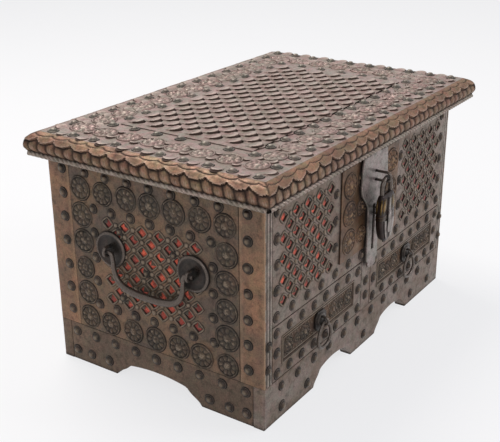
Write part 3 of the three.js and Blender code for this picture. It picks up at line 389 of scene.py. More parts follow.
def put(tree, kind, sockets=None, **settings):
    """Adds a node with its settings; a socket's value is a constant or another node's output."""
    made = tree.nodes.new("ShaderNode" + kind)
    for name, value in settings.items():
        setattr(made, name, value)
    for key, value in (sockets or {}).items():
        if isinstance(value, bpy.types.NodeSocket):
            tree.links.new(value, made.inputs[key])
        else:
            made.inputs[key].default_value = value
    return made


def paint(colour, factor=1):
    """A colour for a node, from an sRGB hex value or a user's colour, made lighter or darker by a factor."""
    channels = linear(colour) if isinstance(colour, int) else colour
    return (*(min(1, c * factor) for c in channels), 1)


def new_material(name):
    """An empty node material and its object coordinates in millimetres."""
    material = bpy.data.materials.new(name)
    material.use_nodes = True
    tree = material.node_tree
    tree.nodes.clear()
    coordinates = put(tree, "TexCoord")
    place = put(tree, "VectorMath", {0: coordinates.outputs["Object"], "Scale": 1 / MM}, operation="SCALE")
    return material, tree, place.outputs[0]


# Sizes of old iron's patterns, in millimetres
FRECKLE = 7.0
GRAIN = 1.6
OXIDE = 13.0
DENT = 11.0
DENT_DEPTH = 1.4
GRAIN_DEPTH = 0.25
# What iron without a relief attribute counts as: a little over half way up, so painted neither dark, as
# gritty and shaded, nor light, as worn and highlit
FLAT_SHARE = 0.6


def worn_iron(name, base, second, dirt_and_shade, worn, metal, rough, dent=0.35, patch=46, shade_reach=5.0, bloom=0.5,
              worked=True):
    """Old iron: two browns in patches, an oxide bloom and freckles; low places and corners painted dark, as
    grit packed there and as painted shade; high places painted light, as rubbed wear and as a painted
    highlight.
    """
    material, tree, place = new_material(name)
    patches = put(tree, "TexNoise", {"Vector": place, "Scale": 1 / patch, "Detail": 4, "Roughness": 0.6,
                                     "Distortion": 0.5})
    patchy = put(tree, "MapRange", {0: patches.outputs["Fac"], 1: 0.38, 2: 0.62})
    freckles = put(tree, "TexNoise", {"Vector": place, "Scale": 1 / FRECKLE, "Detail": 5, "Roughness": 0.65})
    freckled = put(tree, "MapRange", {0: freckles.outputs["Fac"], 1: 0.5, 2: 0.74, 4: 0.65})
    grain = put(tree, "TexNoise", {"Vector": place, "Scale": 1 / GRAIN, "Detail": 3, "Roughness": 0.6})
    grained = put(tree, "MapRange", {0: grain.outputs["Fac"], 1: 0.3, 2: 0.7, 3: 0.7, 4: 1.28})
    # The oxide shifts from green brown to pink brown every centimetre or so
    oxide = put(tree, "TexNoise", {"Vector": place, "Scale": 1 / OXIDE, "Detail": 3, "Roughness": 0.7,
                                   "Distortion": 0.8})
    oxidised = put(tree, "MapRange", {0: oxide.outputs["Fac"], 1: 0.38, 2: 0.62})
    green = (1 - 0.16 * bloom, 1 - 0.02 * bloom, 1 - 0.1 * bloom, 1)
    pink = (1 + 0.18 * bloom, 1 - 0.04 * bloom, 1 + 0.01 * bloom, 1)
    tint = put(tree, "Mix", {0: oxidised.outputs[0], 6: green, 7: pink}, data_type="RGBA")
    height = put(tree, "Attribute", attribute_name="relief").outputs["Fac"] if worked else FLAT_SHARE
    # High places get the rubbed colour: wear, and a painted highlight on crests, rims and crowns
    rubbed = put(tree, "MapRange", {0: height, 1: 0.72, 2: 1.0, 4: 0.6})
    scuffs_and_highlight = put(tree, "Math", {0: rubbed.outputs[0], 1: grained.outputs[0]}, operation="MULTIPLY")
    # Low places get the dark colour: grit in hollows, and painted shade at the feet of raised work, in cuts
    # and under lifted lips
    hollow = put(tree, "MapRange", {0: height, 1: 0.0, 2: 0.5, 3: 0.94, 4: 0.0})
    # Painted shade: ambient occlusion lays the dark colour in corners and where parts touch, such as round
    # nails and rosettes
    corner = put(tree, "AmbientOcclusion", {"Distance": shade_reach * MM}, samples=6)
    crevice_shade = put(tree, "MapRange", {0: corner.outputs["AO"], 1: 0.3, 2: 0.95, 3: 0.95, 4: 0.0})
    coats = (
        (patchy.outputs[0], paint(second), "MIX"),
        (freckled.outputs[0], paint(dirt_and_shade), "MIX"),
        (1.0, grained.outputs[0], "MULTIPLY"),
        (1.0, tint.outputs[2], "MULTIPLY"),
        (scuffs_and_highlight.outputs[0], paint(worn), "MIX"),
        (hollow.outputs[0], paint(dirt_and_shade), "MIX"),
        (crevice_shade.outputs[0], paint(dirt_and_shade), "MIX"),
    )
    colour = paint(base)
    for share, over, blend in coats:
        coated = put(tree, "Mix", {0: share, 6: colour, 7: over}, data_type="RGBA", blend_type=blend)
        colour = coated.outputs[2]
    # The places painted dark, with grit and painted shade, are matt and not metal, so they don't shine like
    # the metal round them
    dull = put(tree, "Math", {0: hollow.outputs[0], 1: crevice_shade.outputs[0]}, operation="MAXIMUM")
    bare = put(tree, "MapRange", {0: dull.outputs[0], 3: metal, 4: 0.0})
    polish = put(tree, "MapRange", {0: freckles.outputs["Fac"], 1: 0.3, 2: 0.7, 3: rough - 0.12,
                                    4: rough + 0.15})
    matt = put(tree, "MapRange", {0: dull.outputs[0], 3: 0.0, 4: 0.6})
    roughness = put(tree, "Math", {0: polish.outputs[0], 1: matt.outputs[0]}, operation="ADD", use_clamp=True)
    dents = put(tree, "TexNoise", {"Vector": place, "Scale": 1 / DENT, "Detail": 2, "Roughness": 0.4})
    hammered = put(tree, "Bump", {"Strength": dent, "Distance": DENT_DEPTH * MM,
                                  "Height": dents.outputs["Fac"]})
    gritty = put(tree, "Bump", {"Strength": 0.3, "Distance": GRAIN_DEPTH * MM, "Height": grain.outputs["Fac"],
                                "Normal": hammered.outputs[0]})
    surface = put(tree, "BsdfPrincipled", {"Base Color": colour, "Metallic": bare.outputs[0],
                                           "Roughness": roughness.outputs[0], "Normal": gritty.outputs[0]})
    put(tree, "OutputMaterial", {"Surface": surface.outputs[0]})
    return material


# Every finish is handed the user's colours, and some of them use one

def browned_end_iron(colours):
    """Mild sheet iron, browned and rubbed: warm olive and orange browns with soft dull highlights."""
    return worn_iron("browned_sheet_iron", colours.end_iron, 0x54463A, 0x21170F, 0x9A7E64, 0.4, 0.42)


def browned_leg_iron(colours):
    """The corner irons' long legs, less dirty than the sheet: the warmest orange brown on the box."""
    return worn_iron("browned_corner_iron", 0x86644A, 0x6A5240, 0x21170F, 0xA08468, 0.4, 0.42)


def dulled_plinth_iron(colours):
    """The plinth's ends, dulled by floors and wet mops: grey brown, darker than the sheet above."""
    return worn_iron("dulled_plinth_iron", 0x685442, 0x584738, 0x1F1711, 0x8E7A68, 0.4, 0.46)


def faded_front_iron(colours):
    """The same sheet iron where it was handled and faded: greyer, with more rubbed metal."""
    return worn_iron("faded_sheet_iron", colours.front_iron, 0x6A5747, 0x1F1815, 0xA0948A, 0.45, 0.42)


def pale_strip_iron(colours):
    """The handled short leg of the corner irons: paler, greyer iron with dark pressed grooves."""
    return worn_iron("pale_strip_iron", 0x8C8076, 0x786A5E, 0x211915, 0xAAA098, 0.45, 0.42)


def tinned_lip_iron(colours):
    """The twisted lip under the lid, tinned and rubbed: pale grey strands with black between them."""
    return worn_iron("tinned_twisted_iron", 0x97897C, 0x7B6B5D, 0x17110D, 0xB9AEA4, 0.5, 0.36, dent=0.15)


def rubbed_lid_iron(colours):
    """Sheet iron dusted and rubbed from above: pale pinkish brown with darker hollows."""
    return worn_iron("rubbed_lid_iron", colours.lid_iron, 0x83726A, 0x44332B, 0xB4A297, 0.35, 0.44, bloom=0.9)


def embossed_edge_iron(colours):
    """Coppered and embossed iron: a red-brown edge, painted dark between its petals as grit and painted
    shade, and bright on their ridges as wear and a painted highlight.
    """
    return worn_iron("embossed_coppery_iron", colours.edge_iron, 0x6C4F3D, 0x1E130F, 0xB39A8A, 0.35, 0.5,
                     dent=0.2, bloom=0.9)


def varnished_plate_iron(colours):
    """Old varnish gone brown on the lock plate: darker and warmer than the sheet round it."""
    return worn_iron("varnished_sheet_iron", 0x6E5036, 0x4C3726, 0x1A110C, 0x9A7C58, 0.4, 0.4)


def forged_nail_iron(colours):
    """Forged nail heads, black from the fire; the crown is painted light, as polish from hands and as a
    painted highlight.
    """
    return worn_iron("forged_nail_iron", colours.nail_iron, 0x372E27, 0x120E0B, 0x84735F, 0.6, 0.34,
                     dent=0.15, shade_reach=3.0)


def dusted_nail_iron(colours):
    """The lid's nail heads, greyed by dust and rubbing: paler than those of the sides, dark at the brim."""
    return worn_iron("dusted_nail_iron", 0x6E665C, 0x565048, 0x1C1713, 0xA0958A, 0.4, 0.42, dent=0.15,
                     shade_reach=3.0)


def stamped_rosette_iron(colours):
    """Stamped iron rosettes: grey-green and darker than the sheet, with their cuts painted dark, as grit and
    as painted shade.
    """
    return worn_iron("stamped_rosette_iron", 0x584736, 0x453B30, 0x150F0B, 0x8F7D6A, 0.5, 0.36, dent=0.15,
                     shade_reach=3.0)


def wrought_handle_iron(colours):
    """Wrought iron, worn smooth by hands: near black with a soft sheen."""
    return worn_iron("wrought_iron_handled", 0x3C332D, 0x2D2723, 0x120E0C, 0x70655D, 0.7, 0.3, dent=0.25)


def flat_hinge_iron(colours):
    """Forged hinge leaves, flat and dry indoors: dark iron with brown rust between the hammer marks."""
    return worn_iron("forged_hinge_iron", 0x4E453E, 0x5A4433, 0x1E1612, 0x82776B, 0.5, 0.45, dent=0.3,
                     patch=20, worked=False)


def satin_hasp_steel(colours):
    """Filed and rubbed steel: an even warm grey that catches the light softly."""
    return worn_iron("filed_satin_steel", 0x8E8580, 0x7C726C, 0x2A2420, 0xC4BCB6, 0.6, 0.36, dent=0.1,
                     patch=30)


def dark_lock_bronze(colours):
    """Cast bronze, dark and oily: near black brown with bright brassy rubbed edges."""
    return worn_iron("dark_cast_bronze", 0x382A24, 0x261D1B, 0x100B09, 0x8E7656, 0.8, 0.25, dent=0.2, patch=9,
                     shade_reach=2.5)


def old_lock_brass(colours):
    """Old yellow brass bosses on the padlock: golden brown where rubbed and nearly black around them."""
    return worn_iron("old_yellow_brass", 0x5E4828, 0x31250F, 0x0F0A05, 0x94784A, 0.85, 0.25, dent=0.2,
                     patch=6, shade_reach=2.5)


# Sizes of the cloth's and the wood's patterns, in millimetres
# The threads are drawn about twice as far apart as real ones, so that they show
THREAD = 1.4
THREAD_DEPTH = 0.4
FADED_PATCH = 24.0
SOOT_PATCH = 9.0
RING = 4.0
RING_DEPTH = 0.5
BOARD_PATCH = 60.0
# Blender's wave texture has 20 bands to a full turn
WAVE_SCALE = TURN / 20 / THREAD


def felted_red_cloth(colours):
    """Felted wool cloth in a plain weave, orange red where light reaches it and soft without shine."""
    material, tree, place = new_material("felted_red_wool")
    threads = {"Vector": place, "Scale": WAVE_SCALE, "Distortion": 1.2, "Detail": 1}
    warp = put(tree, "TexWave", threads, wave_type="BANDS", bands_direction="Z")
    weft = put(tree, "TexWave", threads, wave_type="BANDS", bands_direction="DIAGONAL")
    weave = put(tree, "Math", {0: warp.outputs["Fac"], 1: weft.outputs["Fac"]}, operation="MULTIPLY")
    thread = put(tree, "MapRange", {0: weave.outputs[0], 3: 0.72, 4: 1.1})
    fade = put(tree, "TexNoise", {"Vector": place, "Scale": 1 / FADED_PATCH, "Detail": 4, "Roughness": 0.6})
    faded = put(tree, "MapRange", {0: fade.outputs["Fac"], 1: 0.35, 2: 0.65})
    soot = put(tree, "TexNoise", {"Vector": place, "Scale": 1 / SOOT_PATCH, "Detail": 3})
    sooty = put(tree, "MapRange", {0: soot.outputs["Fac"], 1: 0.48, 2: 0.68, 4: 0.85})
    # Painted shade: where the cloth's share is low it is painted dark red, for the shade it lies in, and on
    # the front's right also as soiling
    cloth_light = put(tree, "Attribute", attribute_name="relief")
    dark = put(tree, "MapRange", {0: cloth_light.outputs["Fac"], 1: 0.1, 2: 0.85, 3: 1.0, 4: 0.0})
    coats = (
        (faded.outputs[0], paint(0xB44532), "MIX"),
        (dark.outputs[0], paint(0x7A2A2C), "MIX"),
        (1.0, thread.outputs[0], "MULTIPLY"),
        (sooty.outputs[0], paint(0x5A1E18), "MIX"),
    )
    # The cloth's colour made 1.4 times brighter is its painted lit colour
    colour = paint(colours.cloth, 1.4)
    for share, over, blend in coats:
        coated = put(tree, "Mix", {0: share, 6: colour, 7: over}, data_type="RGBA", blend_type=blend)
        colour = coated.outputs[2]
    bump = put(tree, "Bump", {"Strength": 0.5, "Distance": THREAD_DEPTH * MM, "Height": weave.outputs[0]})
    surface = put(tree, "BsdfPrincipled", {"Base Color": colour, "Roughness": 0.9, "Sheen Weight": 0.3,
                                           "Normal": bump.outputs[0]})
    put(tree, "OutputMaterial", {"Surface": surface.outputs[0]})
    return material


def oiled_teak(colours):
    """Old teak boards, sawn and oiled: dark brown with fine straight grain and a dull surface."""
    material, tree, place = new_material("oiled_teak_boards")
    # The grain runs along the box
    stretched = put(tree, "Mapping", {"Vector": place, "Scale": (0.05, 1, 1)})
    rings = put(tree, "TexNoise", {"Vector": stretched.outputs[0], "Scale": 1 / RING, "Detail": 6,
                                   "Roughness": 0.65, "Distortion": 0.6})
    lines = put(tree, "MapRange", {0: rings.outputs["Fac"], 1: 0.35, 2: 0.65})
    broad = put(tree, "TexNoise", {"Vector": place, "Scale": 1 / BOARD_PATCH, "Detail": 3})
    dark = put(tree, "MapRange", {0: broad.outputs["Fac"], 1: 0.35, 2: 0.65, 4: 0.6})
    colour = paint(0x4A3020)
    for share, over in ((lines, 0x6B4A31), (dark, 0x3A281C)):
        coated = put(tree, "Mix", {0: share.outputs[0], 6: colour, 7: paint(over)}, data_type="RGBA")
        colour = coated.outputs[2]
    roughness = put(tree, "MapRange", {0: rings.outputs["Fac"], 3: 0.55, 4: 0.75})
    bump = put(tree, "Bump", {"Strength": 0.35, "Distance": RING_DEPTH * MM, "Height": rings.outputs["Fac"]})
    surface = put(tree, "BsdfPrincipled", {"Base Color": colour, "Roughness": roughness.outputs[0],
                                           "Normal": bump.outputs[0]})
    put(tree, "OutputMaterial", {"Surface": surface.outputs[0]})
    return material


FINISHES = {
    "end": browned_end_iron,
    "front": faded_front_iron,
    "leg": browned_leg_iron,
    "plinth": dulled_plinth_iron,
    "lid": rubbed_lid_iron,
    "edge": embossed_edge_iron,
    "lip": tinned_lip_iron,
    "strip": pale_strip_iron,
    "brass": old_lock_brass,
    "lock_plate": varnished_plate_iron,
    "nail": forged_nail_iron,
    "lid_nail": dusted_nail_iron,
    "rosette": stamped_rosette_iron,
    "handle": wrought_handle_iron,
    "hinge": flat_hinge_iron,
    "hasp": satin_hasp_steel,
    "bronze": dark_lock_bronze,
    "cloth": felted_red_cloth,
    "wood": oiled_teak,
}
made_finishes = {}


def finish(name):
    """A finish by its short name, made once."""
    if name not in made_finishes:
        made_finishes[name] = FINISHES[name](bpy.context.scene.strongbox_colours)
    return made_finishes[name]


# Worked iron shared by several faces

# A nail head from its brim in: radius share, height share and how light it is painted; the three flat rings
# outside the brim lie dark on the sheet as a painted contact shadow with grit, and the crown is light as wear
# and a painted highlight
NAIL_SHARES = ((1.15, -0.05, 0.0), (1.13, 0.04, 0.0), (1.02, 0.06, 0.0), (1.0, 0.16, 0.2), (0.95, 0.25, 0.8),
               (0.84, 0.27, 0.6), (0.77, 0.22, 0.0), (0.72, 0.4, 0.35), (0.6, 0.7, 0.7), (0.42, 0.9, 0.85),
               (0.2, 0.99, 1.0), (0, 1.0, 1.0))
NAIL_SIDES = 16
# How far a nail is struck off its place, in millimetres
NAIL_STRAY = 0.4


def add_nail(relief, u, v, base=0.0, scale=1.0):
    """One domed nail head, struck a little askew as hand work is."""
    sizes = bpy.context.scene.strongbox_sizes
    chance = relief.chance.uniform
    radius = sizes.nail_radius / MM * scale * chance(0.93, 1.03)
    height = sizes.nail_height / MM * scale * chance(0.85, 1.0)
    profile = [(r, h * height, share) for r, h, share in NAIL_SHARES]
    place = (u + chance(-NAIL_STRAY, NAIL_STRAY), v + chance(-NAIL_STRAY, NAIL_STRAY))
    relief.add_round(*place, radius, profile, NAIL_SIDES, lean=0.45, squeeze=0.04, base=base)


def nail_piece(name, seed, places, matrix, body="body", look="nail"):
    """One piece of nails; a place is (u, v), or (u, v, base, scale) for a raised or smaller nail."""
    heads = Relief(seed)
    for place in places:
        add_nail(heads, *place)
    piece(name, heads.mesh("nails", matrix), look, body)


# A rosette's rings, and where its rolled rim ends and its hub begins, as shares of its radius
ROSETTE_SHARES = (1.0, 0.97, 0.93, 0.89, 0.86, 0.83, 0.77, 0.68, 0.57, 0.47, 0.4, 0.36, 0.31, 0.22, 0.11, 0)
RIM_SHARE = 0.86
HUB_SHARE = 0.36


def rosette_waves(petals, height, stray):
    """Height of a stamped rosette over its radius and angle: rolled rim, cut petals and domed hub."""
    def roughness(share, angle, scale, way):
        spot = (share * scale * math.cos(angle) + way * stray, share * scale * math.sin(angle), stray)
        return noise.noise(Vector(spot))

    def waves(share, angle, w, light_share):
        if share > 1:
            return w, light_share
        if share > RIM_SHARE:
            rise = eased(math.sin(math.pi * min(1, (1 - share) / (1 - RIM_SHARE))), 0.5) * 0.6
        elif share > HUB_SHARE:
            lobe = 0.5 + 0.5 * math.cos(petals * angle)
            reach = eased(math.sin(math.pi * (share - HUB_SHARE) / (RIM_SHARE - HUB_SHARE)), 0.6)
            rise = reach * (0.05 + 0.75 * eased(lobe, 0.6))
        else:
            rise = 0.15 + 0.85 * eased(math.cos(math.pi / 2 * share / HUB_SHARE), 0.8)
        fine = roughness(share, angle, 9, -1)
        rise *= 1 + 0.6 * roughness(share, angle, 3, 1) + 0.5 * fine
        return rise * height, eased(rise * (1 + 0.5 * fine), 0.8)

    return waves


def add_rosette(relief, u, v, base=0.0, scale=1.0, petals=10, wear=0.3):
    """One stamped rosette, turned and worn by chance."""
    sizes = bpy.context.scene.strongbox_sizes
    radius = sizes.rosette_radius / MM * scale
    height = sizes.rosette_height / MM * relief.chance.uniform(1 - wear, 1)
    # The two outer rings lie flat and dark round the rosette's foot: a painted outline of shade, with grit
    profile = [(1.06, -0.3, 0.0), (1.05, 0.06, 0.0)] + [(share, 0.0, 0.0) for share in ROSETTE_SHARES]
    relief.add_round(u, v, radius, profile, 4 * petals, squeeze=0.03, turn=relief.chance.uniform(0, TURN),
                     base=base, waves=rosette_waves(petals, height, u + 3 * v), lean=0.4)


# The diamond holes of the pierced sheets, in millimetres
DIAMOND_HALF_U = 6.0
DIAMOND_HALF_V = 5.5
DIAMOND_ROW = 11.0
# A raised lozenge round a hole: how far out, height in millimetres and how light it is painted, dark at its
# foot and at the hole's edge as grit and painted shade
LOZENGE_SHARES = ((1.62, -0.3, 0.0), (1.56, 0.1, 0.0), (1.4, 0.75, 0.8), (1.24, 0.95, 1.0), (1.1, 0.6, 0.7),
                  (1.02, 0.0, 0.1), (1.0, -0.5, 0.0))
LOZENGE_SIDES = 16
# How round a lozenge gets towards its foot, and how far out it is as round as that
LOZENGE_ROUND_SHARE = 0.55
LOZENGE_ROUND_OUT = 0.6
LOZENGE_CIRCLE_SHARE = 0.86


def add_lozenge(relief, u, v):
    """The embossed rim of one diamond hole, rounded at its corners."""
    rings = []
    swell = relief.chance.uniform(0.85, 1.1)
    for out, height, share in LOZENGE_SHARES:
        ring = []
        for i in range(LOZENGE_SIDES):
            angle = TURN * i / LOZENGE_SIDES
            c, s = math.cos(angle), math.sin(angle)
            sharp = 1 / (abs(c) + abs(s))
            rounding = min(1, (out - 1) / LOZENGE_ROUND_OUT) * LOZENGE_ROUND_SHARE
            reach = out * (sharp + (LOZENGE_CIRCLE_SHARE - sharp) * rounding)
            place = (u + DIAMOND_HALF_U * reach * c, v + DIAMOND_HALF_V * reach * s)
            ring.append((*place, height * swell, share))
        rings.append(ring)
    relief.add_rings(rings)


# A small boss from its foot in: radius share, height in millimetres and how light it is painted, dark at its
# foot as grit and painted shade
BOSS_SHARES = ((1.1, -0.3, 0.0), (1.0, 0.1, 0.0), (0.85, 0.7, 0.7), (0.5, 1.15, 1.0), (0, 1.25, 1.0))
BOSS_RADIUS = 3.1


def add_bosses(relief, holes, half_pitch):
    """Small struck bosses where the bars of a lattice cross, between two holes of one row."""
    for u, v in holes:
        if any(abs(a - u - 2 * half_pitch) < 1 and abs(b - v) < 1 for a, b in holes):
            relief.add_round(u + half_pitch, v, BOSS_RADIUS, BOSS_SHARES, 12, squeeze=0.12, lean=0.3)


def add_flap(relief, u, v):
    """The lip of metal bent out of one hole: a small leaf rooted on the hole's upper edge."""
    cover = relief.chance.uniform(0.1, 0.85)
    rise = relief.chance.uniform(0.8, 1.7)
    mirror = relief.chance.choice((-1, 1, 1))
    root, top = Vector((-DIAMOND_HALF_U, 0.0)), Vector((0.0, DIAMOND_HALF_V))
    tip = (root + top) / 2 + Vector((DIAMOND_HALF_U, -DIAMOND_HALF_V)) * 0.55 * (0.3 + cover)
    steps = 4
    rows = []
    for i in range(steps + 1):
        t = i / steps
        row = []
        for k in range(steps + 1):
            q = k / steps
            edge = root.lerp(top, q)
            bow = 1 - (2 * q - 1) ** 2
            place = edge.lerp(tip, t * eased(bow, 0.7))
            height = rise * math.sin(math.pi / 2 * t) * bow
            row.append((u + mirror * place.x, v + place.y, 0.1 + height, 0.35 + 0.65 * t * bow))
        rows.append(row if mirror > 0 else row[::-1])
    relief.add_rings(rows, closed=False)


def lattice_mesh(seed, holes, pitch, matrix):
    """The rims, bent lips and bosses of one sheet's pierced fields."""
    rims = Relief(seed)
    for u, v in holes:
        add_lozenge(rims, u, v)
        add_flap(rims, u, v)
    add_bosses(rims, holes, pitch / 2)
    return rims.mesh("rims", matrix)


def pierced_mesh(name, outline, holes, matrix):
    """A sheet with its diamond holes."""
    loops = [outline]
    for u, v in holes:
        loops.append([(u - DIAMOND_HALF_U, v), (u, v - DIAMOND_HALF_V), (u + DIAMOND_HALF_U, v),
                      (u, v + DIAMOND_HALF_V)])
    return plate_mesh(name, loops, -SHEET, 0, matrix, rounding=0.6)


# The cloth behind the pierced sheets, in millimetres
CLOTH_THICK = 0.6
CLOTH_SWELL = 1.3
CLOTH_STEP = 2.9
CLOTH_RIPPLE = 17.0


def cloth_mesh(half, low, high, matrix, holes, painted_light):
    """A thin cloth stretched behind a sheet, swelling into each hole; the function given for its light says
    how lit the cloth is painted at each place, and low values paint it in shade.
    """
    columns = int(2 * half / CLOTH_STEP) + 1
    rows = int((high - low) / CLOTH_STEP) + 1
    relief = Relief()

    def depth(u, v):
        near = min((abs(u - a) / DIAMOND_HALF_U + abs(v - b) / DIAMOND_HALF_V for a, b in holes), default=2.0)
        ripple = noise.noise(Vector((u / CLOTH_RIPPLE, v / CLOTH_RIPPLE, 3.0))) * 0.1
        return -SHEET - GAP - 0.15 + ripple + CLOTH_SWELL * eased(1 - near, 0.6)

    layers = []
    for lower in (0.0, CLOTH_THICK):
        grid = []
        for j in range(rows + 1):
            v = low + (high - low) * j / rows
            row = []
            for i in range(columns + 1):
                u = -half + 2 * half * i / columns
                # How lit the cloth is painted here, with random patches of tone laid over it
                lightness = painted_light(u, v) + 0.35 * noise.noise(Vector((u, v, 0)) / 16)
                row.append((u, v, depth(u, v) - lower, lightness))
            grid.append(row)
        layers.append([relief.add_ring(row) for row in grid])
    top, under = layers
    bands = [*zip(top, top[1:]), *zip(under[1:], under), (under[0], top[0]), (top[-1], under[-1])]
    for column, first, second in ((0, top, under), (-1, under, top)):
        bands.append(([row[column] for row in first], [row[column] for row in second]))
    for outer, inner in bands:
        relief.join_rings(outer, inner, closed=False)
    return relief.mesh("cloth", matrix)


# Ends: places from the middle of one end and up from the floor, in millimetres

END_DIAMOND_PITCH = 23.0
END_FIELD_V = 138.5
END_NAIL_U = 77.0
END_NAIL_V = 55.75
END_TOP_NAIL_V = 232.25
END_TOP_NAIL_PITCH = 28.5
END_ROSETTE_U = 93.5
END_ROSETTE_PITCH = 31.0
END_ROSETTE_HIGH = 214.0
END_ROSETTE_LOW = 62.5
END_ROSETTE_ROWS = 6
ROSETTE_STRAY = 0.7
HANDLE_U = 54.0
HANDLE_V = 154.0
HANDLE_PLATE_RADIUS = 20.0
# Smaller nails stand on the lattice where it is fastened to the board
LATTICE_NAIL_PLACES = ((-41, 177.0), (30, 168.0), (-7, 138.5), (-41, 100.0))
LATTICE_NAIL_BASE = 0.4
LATTICE_NAIL_SCALE = 0.82


def end_nail_places():
    """Domed nails of one end sheet: one row under the lid and a ring round the pierced field."""
    places = [(u, END_TOP_NAIL_V) for u in spaced(7, END_TOP_NAIL_PITCH)]
    for u, v in border_places(END_NAIL_U, END_NAIL_V, 7, 5):
        from_plate = math.hypot(abs(u) - HANDLE_U, END_FIELD_V + v - HANDLE_V) - HANDLE_PLATE_RADIUS
        if from_plate > 5.75:
            places.append((u, END_FIELD_V + v))
    return places + [(u, v, LATTICE_NAIL_BASE, LATTICE_NAIL_SCALE) for u, v in LATTICE_NAIL_PLACES]


def end_rosette_places():
    """Rosettes of one end sheet: two full rows and the two columns between them."""
    places = [(u, v) for v in (END_ROSETTE_HIGH, END_ROSETTE_LOW) for u in spaced(7, END_ROSETTE_PITCH)]
    gaps = END_ROSETTE_ROWS - 1
    for i in range(1, gaps):
        v = END_ROSETTE_LOW + (END_ROSETTE_HIGH - END_ROSETTE_LOW) * i / gaps
        places += [(-END_ROSETTE_U, v), (END_ROSETTE_U, v)]
    return places


class STRONGBOX_OT_ends(bpy.types.Operator):
    """Makes the two pierced end sheets with their rosettes, nails and red cloth."""

    bl_idname = "strongbox.ends"
    bl_label = "End sheets"

    def execute(self, context):
        holes = diamond_places(0, END_FIELD_V, 6, 9, END_DIAMOND_PITCH, DIAMOND_ROW)
        outline = rectangle(-END_HALF, SHEET_LOW, END_HALF, SHEET_HIGH)
        for index, end in enumerate(("left", "right")):
            matrix = FACES[end]
            sheet = pierced_mesh(f"{end}_pierced_sheet", outline, holes, matrix)
            piece(f"{end}_pierced_sheet", sheet, "end", "body", [f"{end}_end_sheet"])
            rims = lattice_mesh(11 + index, holes, END_DIAMOND_PITCH, matrix)
            piece(f"{end}_lattice_rims", rims, "rosette", "body")
            stamped = Relief(21 + index)
            chance = stamped.chance.uniform
            for u, v in end_rosette_places():
                add_rosette(stamped, u + chance(-ROSETTE_STRAY, ROSETTE_STRAY),
                            v + chance(-ROSETTE_STRAY, ROSETTE_STRAY), scale=chance(0.95, 1.05))
            piece(f"{end}_rosettes", stamped.mesh("rosettes", matrix), "rosette", "body")
            nail_piece(f"{end}_nails", 31 + index, end_nail_places(), matrix)
            # The end cloth is painted lit in the middle of its field and in painted shade further out
            cloth = cloth_mesh(END_HALF, SHEET_LOW, SHEET_HIGH, matrix, holes,
                               lambda u, v: 1.2 - math.hypot(u, v - END_FIELD_V) / 90)
            made = piece(f"{end}_red_cloth", cloth, "cloth", "body", [f"{end}_end_cloth"])
        return {"FINISHED"}


# Front and back: places from the middle of the box and up from the floor, in millimetres

FRONT_DIAMOND_PITCH = 22.5
FRONT_FIELD_U = 132.0
FRONT_FIELD_V = 178.5
# The strip of sheet between the two drawers
DIVIDER_HALF = 10.5
RAIL_NAIL_V = 121.0
RAIL_NAIL_PITCH = 29.077
LOCK_PLATE_HALF = 66.0
LOCK_PLATE_LOW = 129.0
LOCK_PLATE_HIGH = 234.0
LOCK_PLATE_TOP = GAP + SHEET
# Left of this the front cloth is painted lit; right of it, it is painted darker, as soiling and as the lock's
# painted shade
BRIGHT_CLOTH_U = -95


def front_nail_places():
    """Domed nails of the front sheet: the rail over the drawers, both sides of each field, the divider."""
    places = [(u, RAIL_NAIL_V) for u in spaced(14, RAIL_NAIL_PITCH)]
    for sign in (-1, 1):
        places += [(sign * 189.0, v) for v in (148.75, 176.5, 204.25, 232.0)]
        places += [(sign * 75.0, v) for v in (151.5, 182.0, 212.5)]
    return places + [(0, 64.5), (0, 84.0)]


class STRONGBOX_OT_front(bpy.types.Operator):
    """Makes the pierced front sheet, its lattice, nails, red cloth and the plate behind the lock."""

    bl_idname = "strongbox.front"
    bl_label = "Front sheet and lock plate"

    def execute(self, context):
        matrix = FACES["front"]
        holes = []
        for sign in (-1, 1):
            holes += diamond_places(sign * FRONT_FIELD_U, FRONT_FIELD_V, 5, 9, FRONT_DIAMOND_PITCH,
                                    DIAMOND_ROW)
        outline = [(-DIVIDER_HALF, SHEET_LOW), (DIVIDER_HALF, SHEET_LOW), (DIVIDER_HALF, FRONT_LOW),
                   (FRONT_HALF, FRONT_LOW), (FRONT_HALF, SHEET_HIGH), (-FRONT_HALF, SHEET_HIGH),
                   (-FRONT_HALF, FRONT_LOW), (-DIVIDER_HALF, FRONT_LOW)]
        sheet = pierced_mesh("sheet", outline, holes, matrix)
        piece("front_pierced_sheet", sheet, "front", "body", ["front_sheet"])
        rims = lattice_mesh(41, holes, FRONT_DIAMOND_PITCH, matrix)
        piece("front_lattice_rims", rims, "rosette", "body")
        nail_piece("front_nails", 42, front_nail_places(), matrix)
        cloth = cloth_mesh(FRONT_HALF, FRONT_LOW, SHEET_HIGH, matrix, holes,
                           lambda u, v: 1.0 if u <= BRIGHT_CLOTH_U else 0.4 if u < 0 else 0.3)
        made = piece("front_red_cloth", cloth, "cloth", "body", ["front_cloth"])
        outline = rectangle(-LOCK_PLATE_HALF, LOCK_PLATE_LOW, LOCK_PLATE_HALF, LOCK_PLATE_HIGH)
        plate = plate_mesh("lock_plate_iron", [outline], GAP, LOCK_PLATE_TOP, matrix)
        piece("lock_plate_iron", plate, "lock_plate", "body", ["lock_plate"])
        stamped = Relief(43)
        for v in (149.0, 181.5, 214.0):
            for sign in (-1, 1):
                add_rosette(stamped, sign * 48.0, v, base=LOCK_PLATE_TOP, scale=1.08, petals=12)
                add_rosette(stamped, sign * 21.5, v, base=LOCK_PLATE_TOP, scale=0.75, wear=0.6)
        piece("lock_plate_rosettes", stamped.mesh("rosettes", matrix), "lock_plate", "body")
        return {"FINISHED"}


BACK_NAIL_U = 178.25
BACK_NAIL_V = 76.75
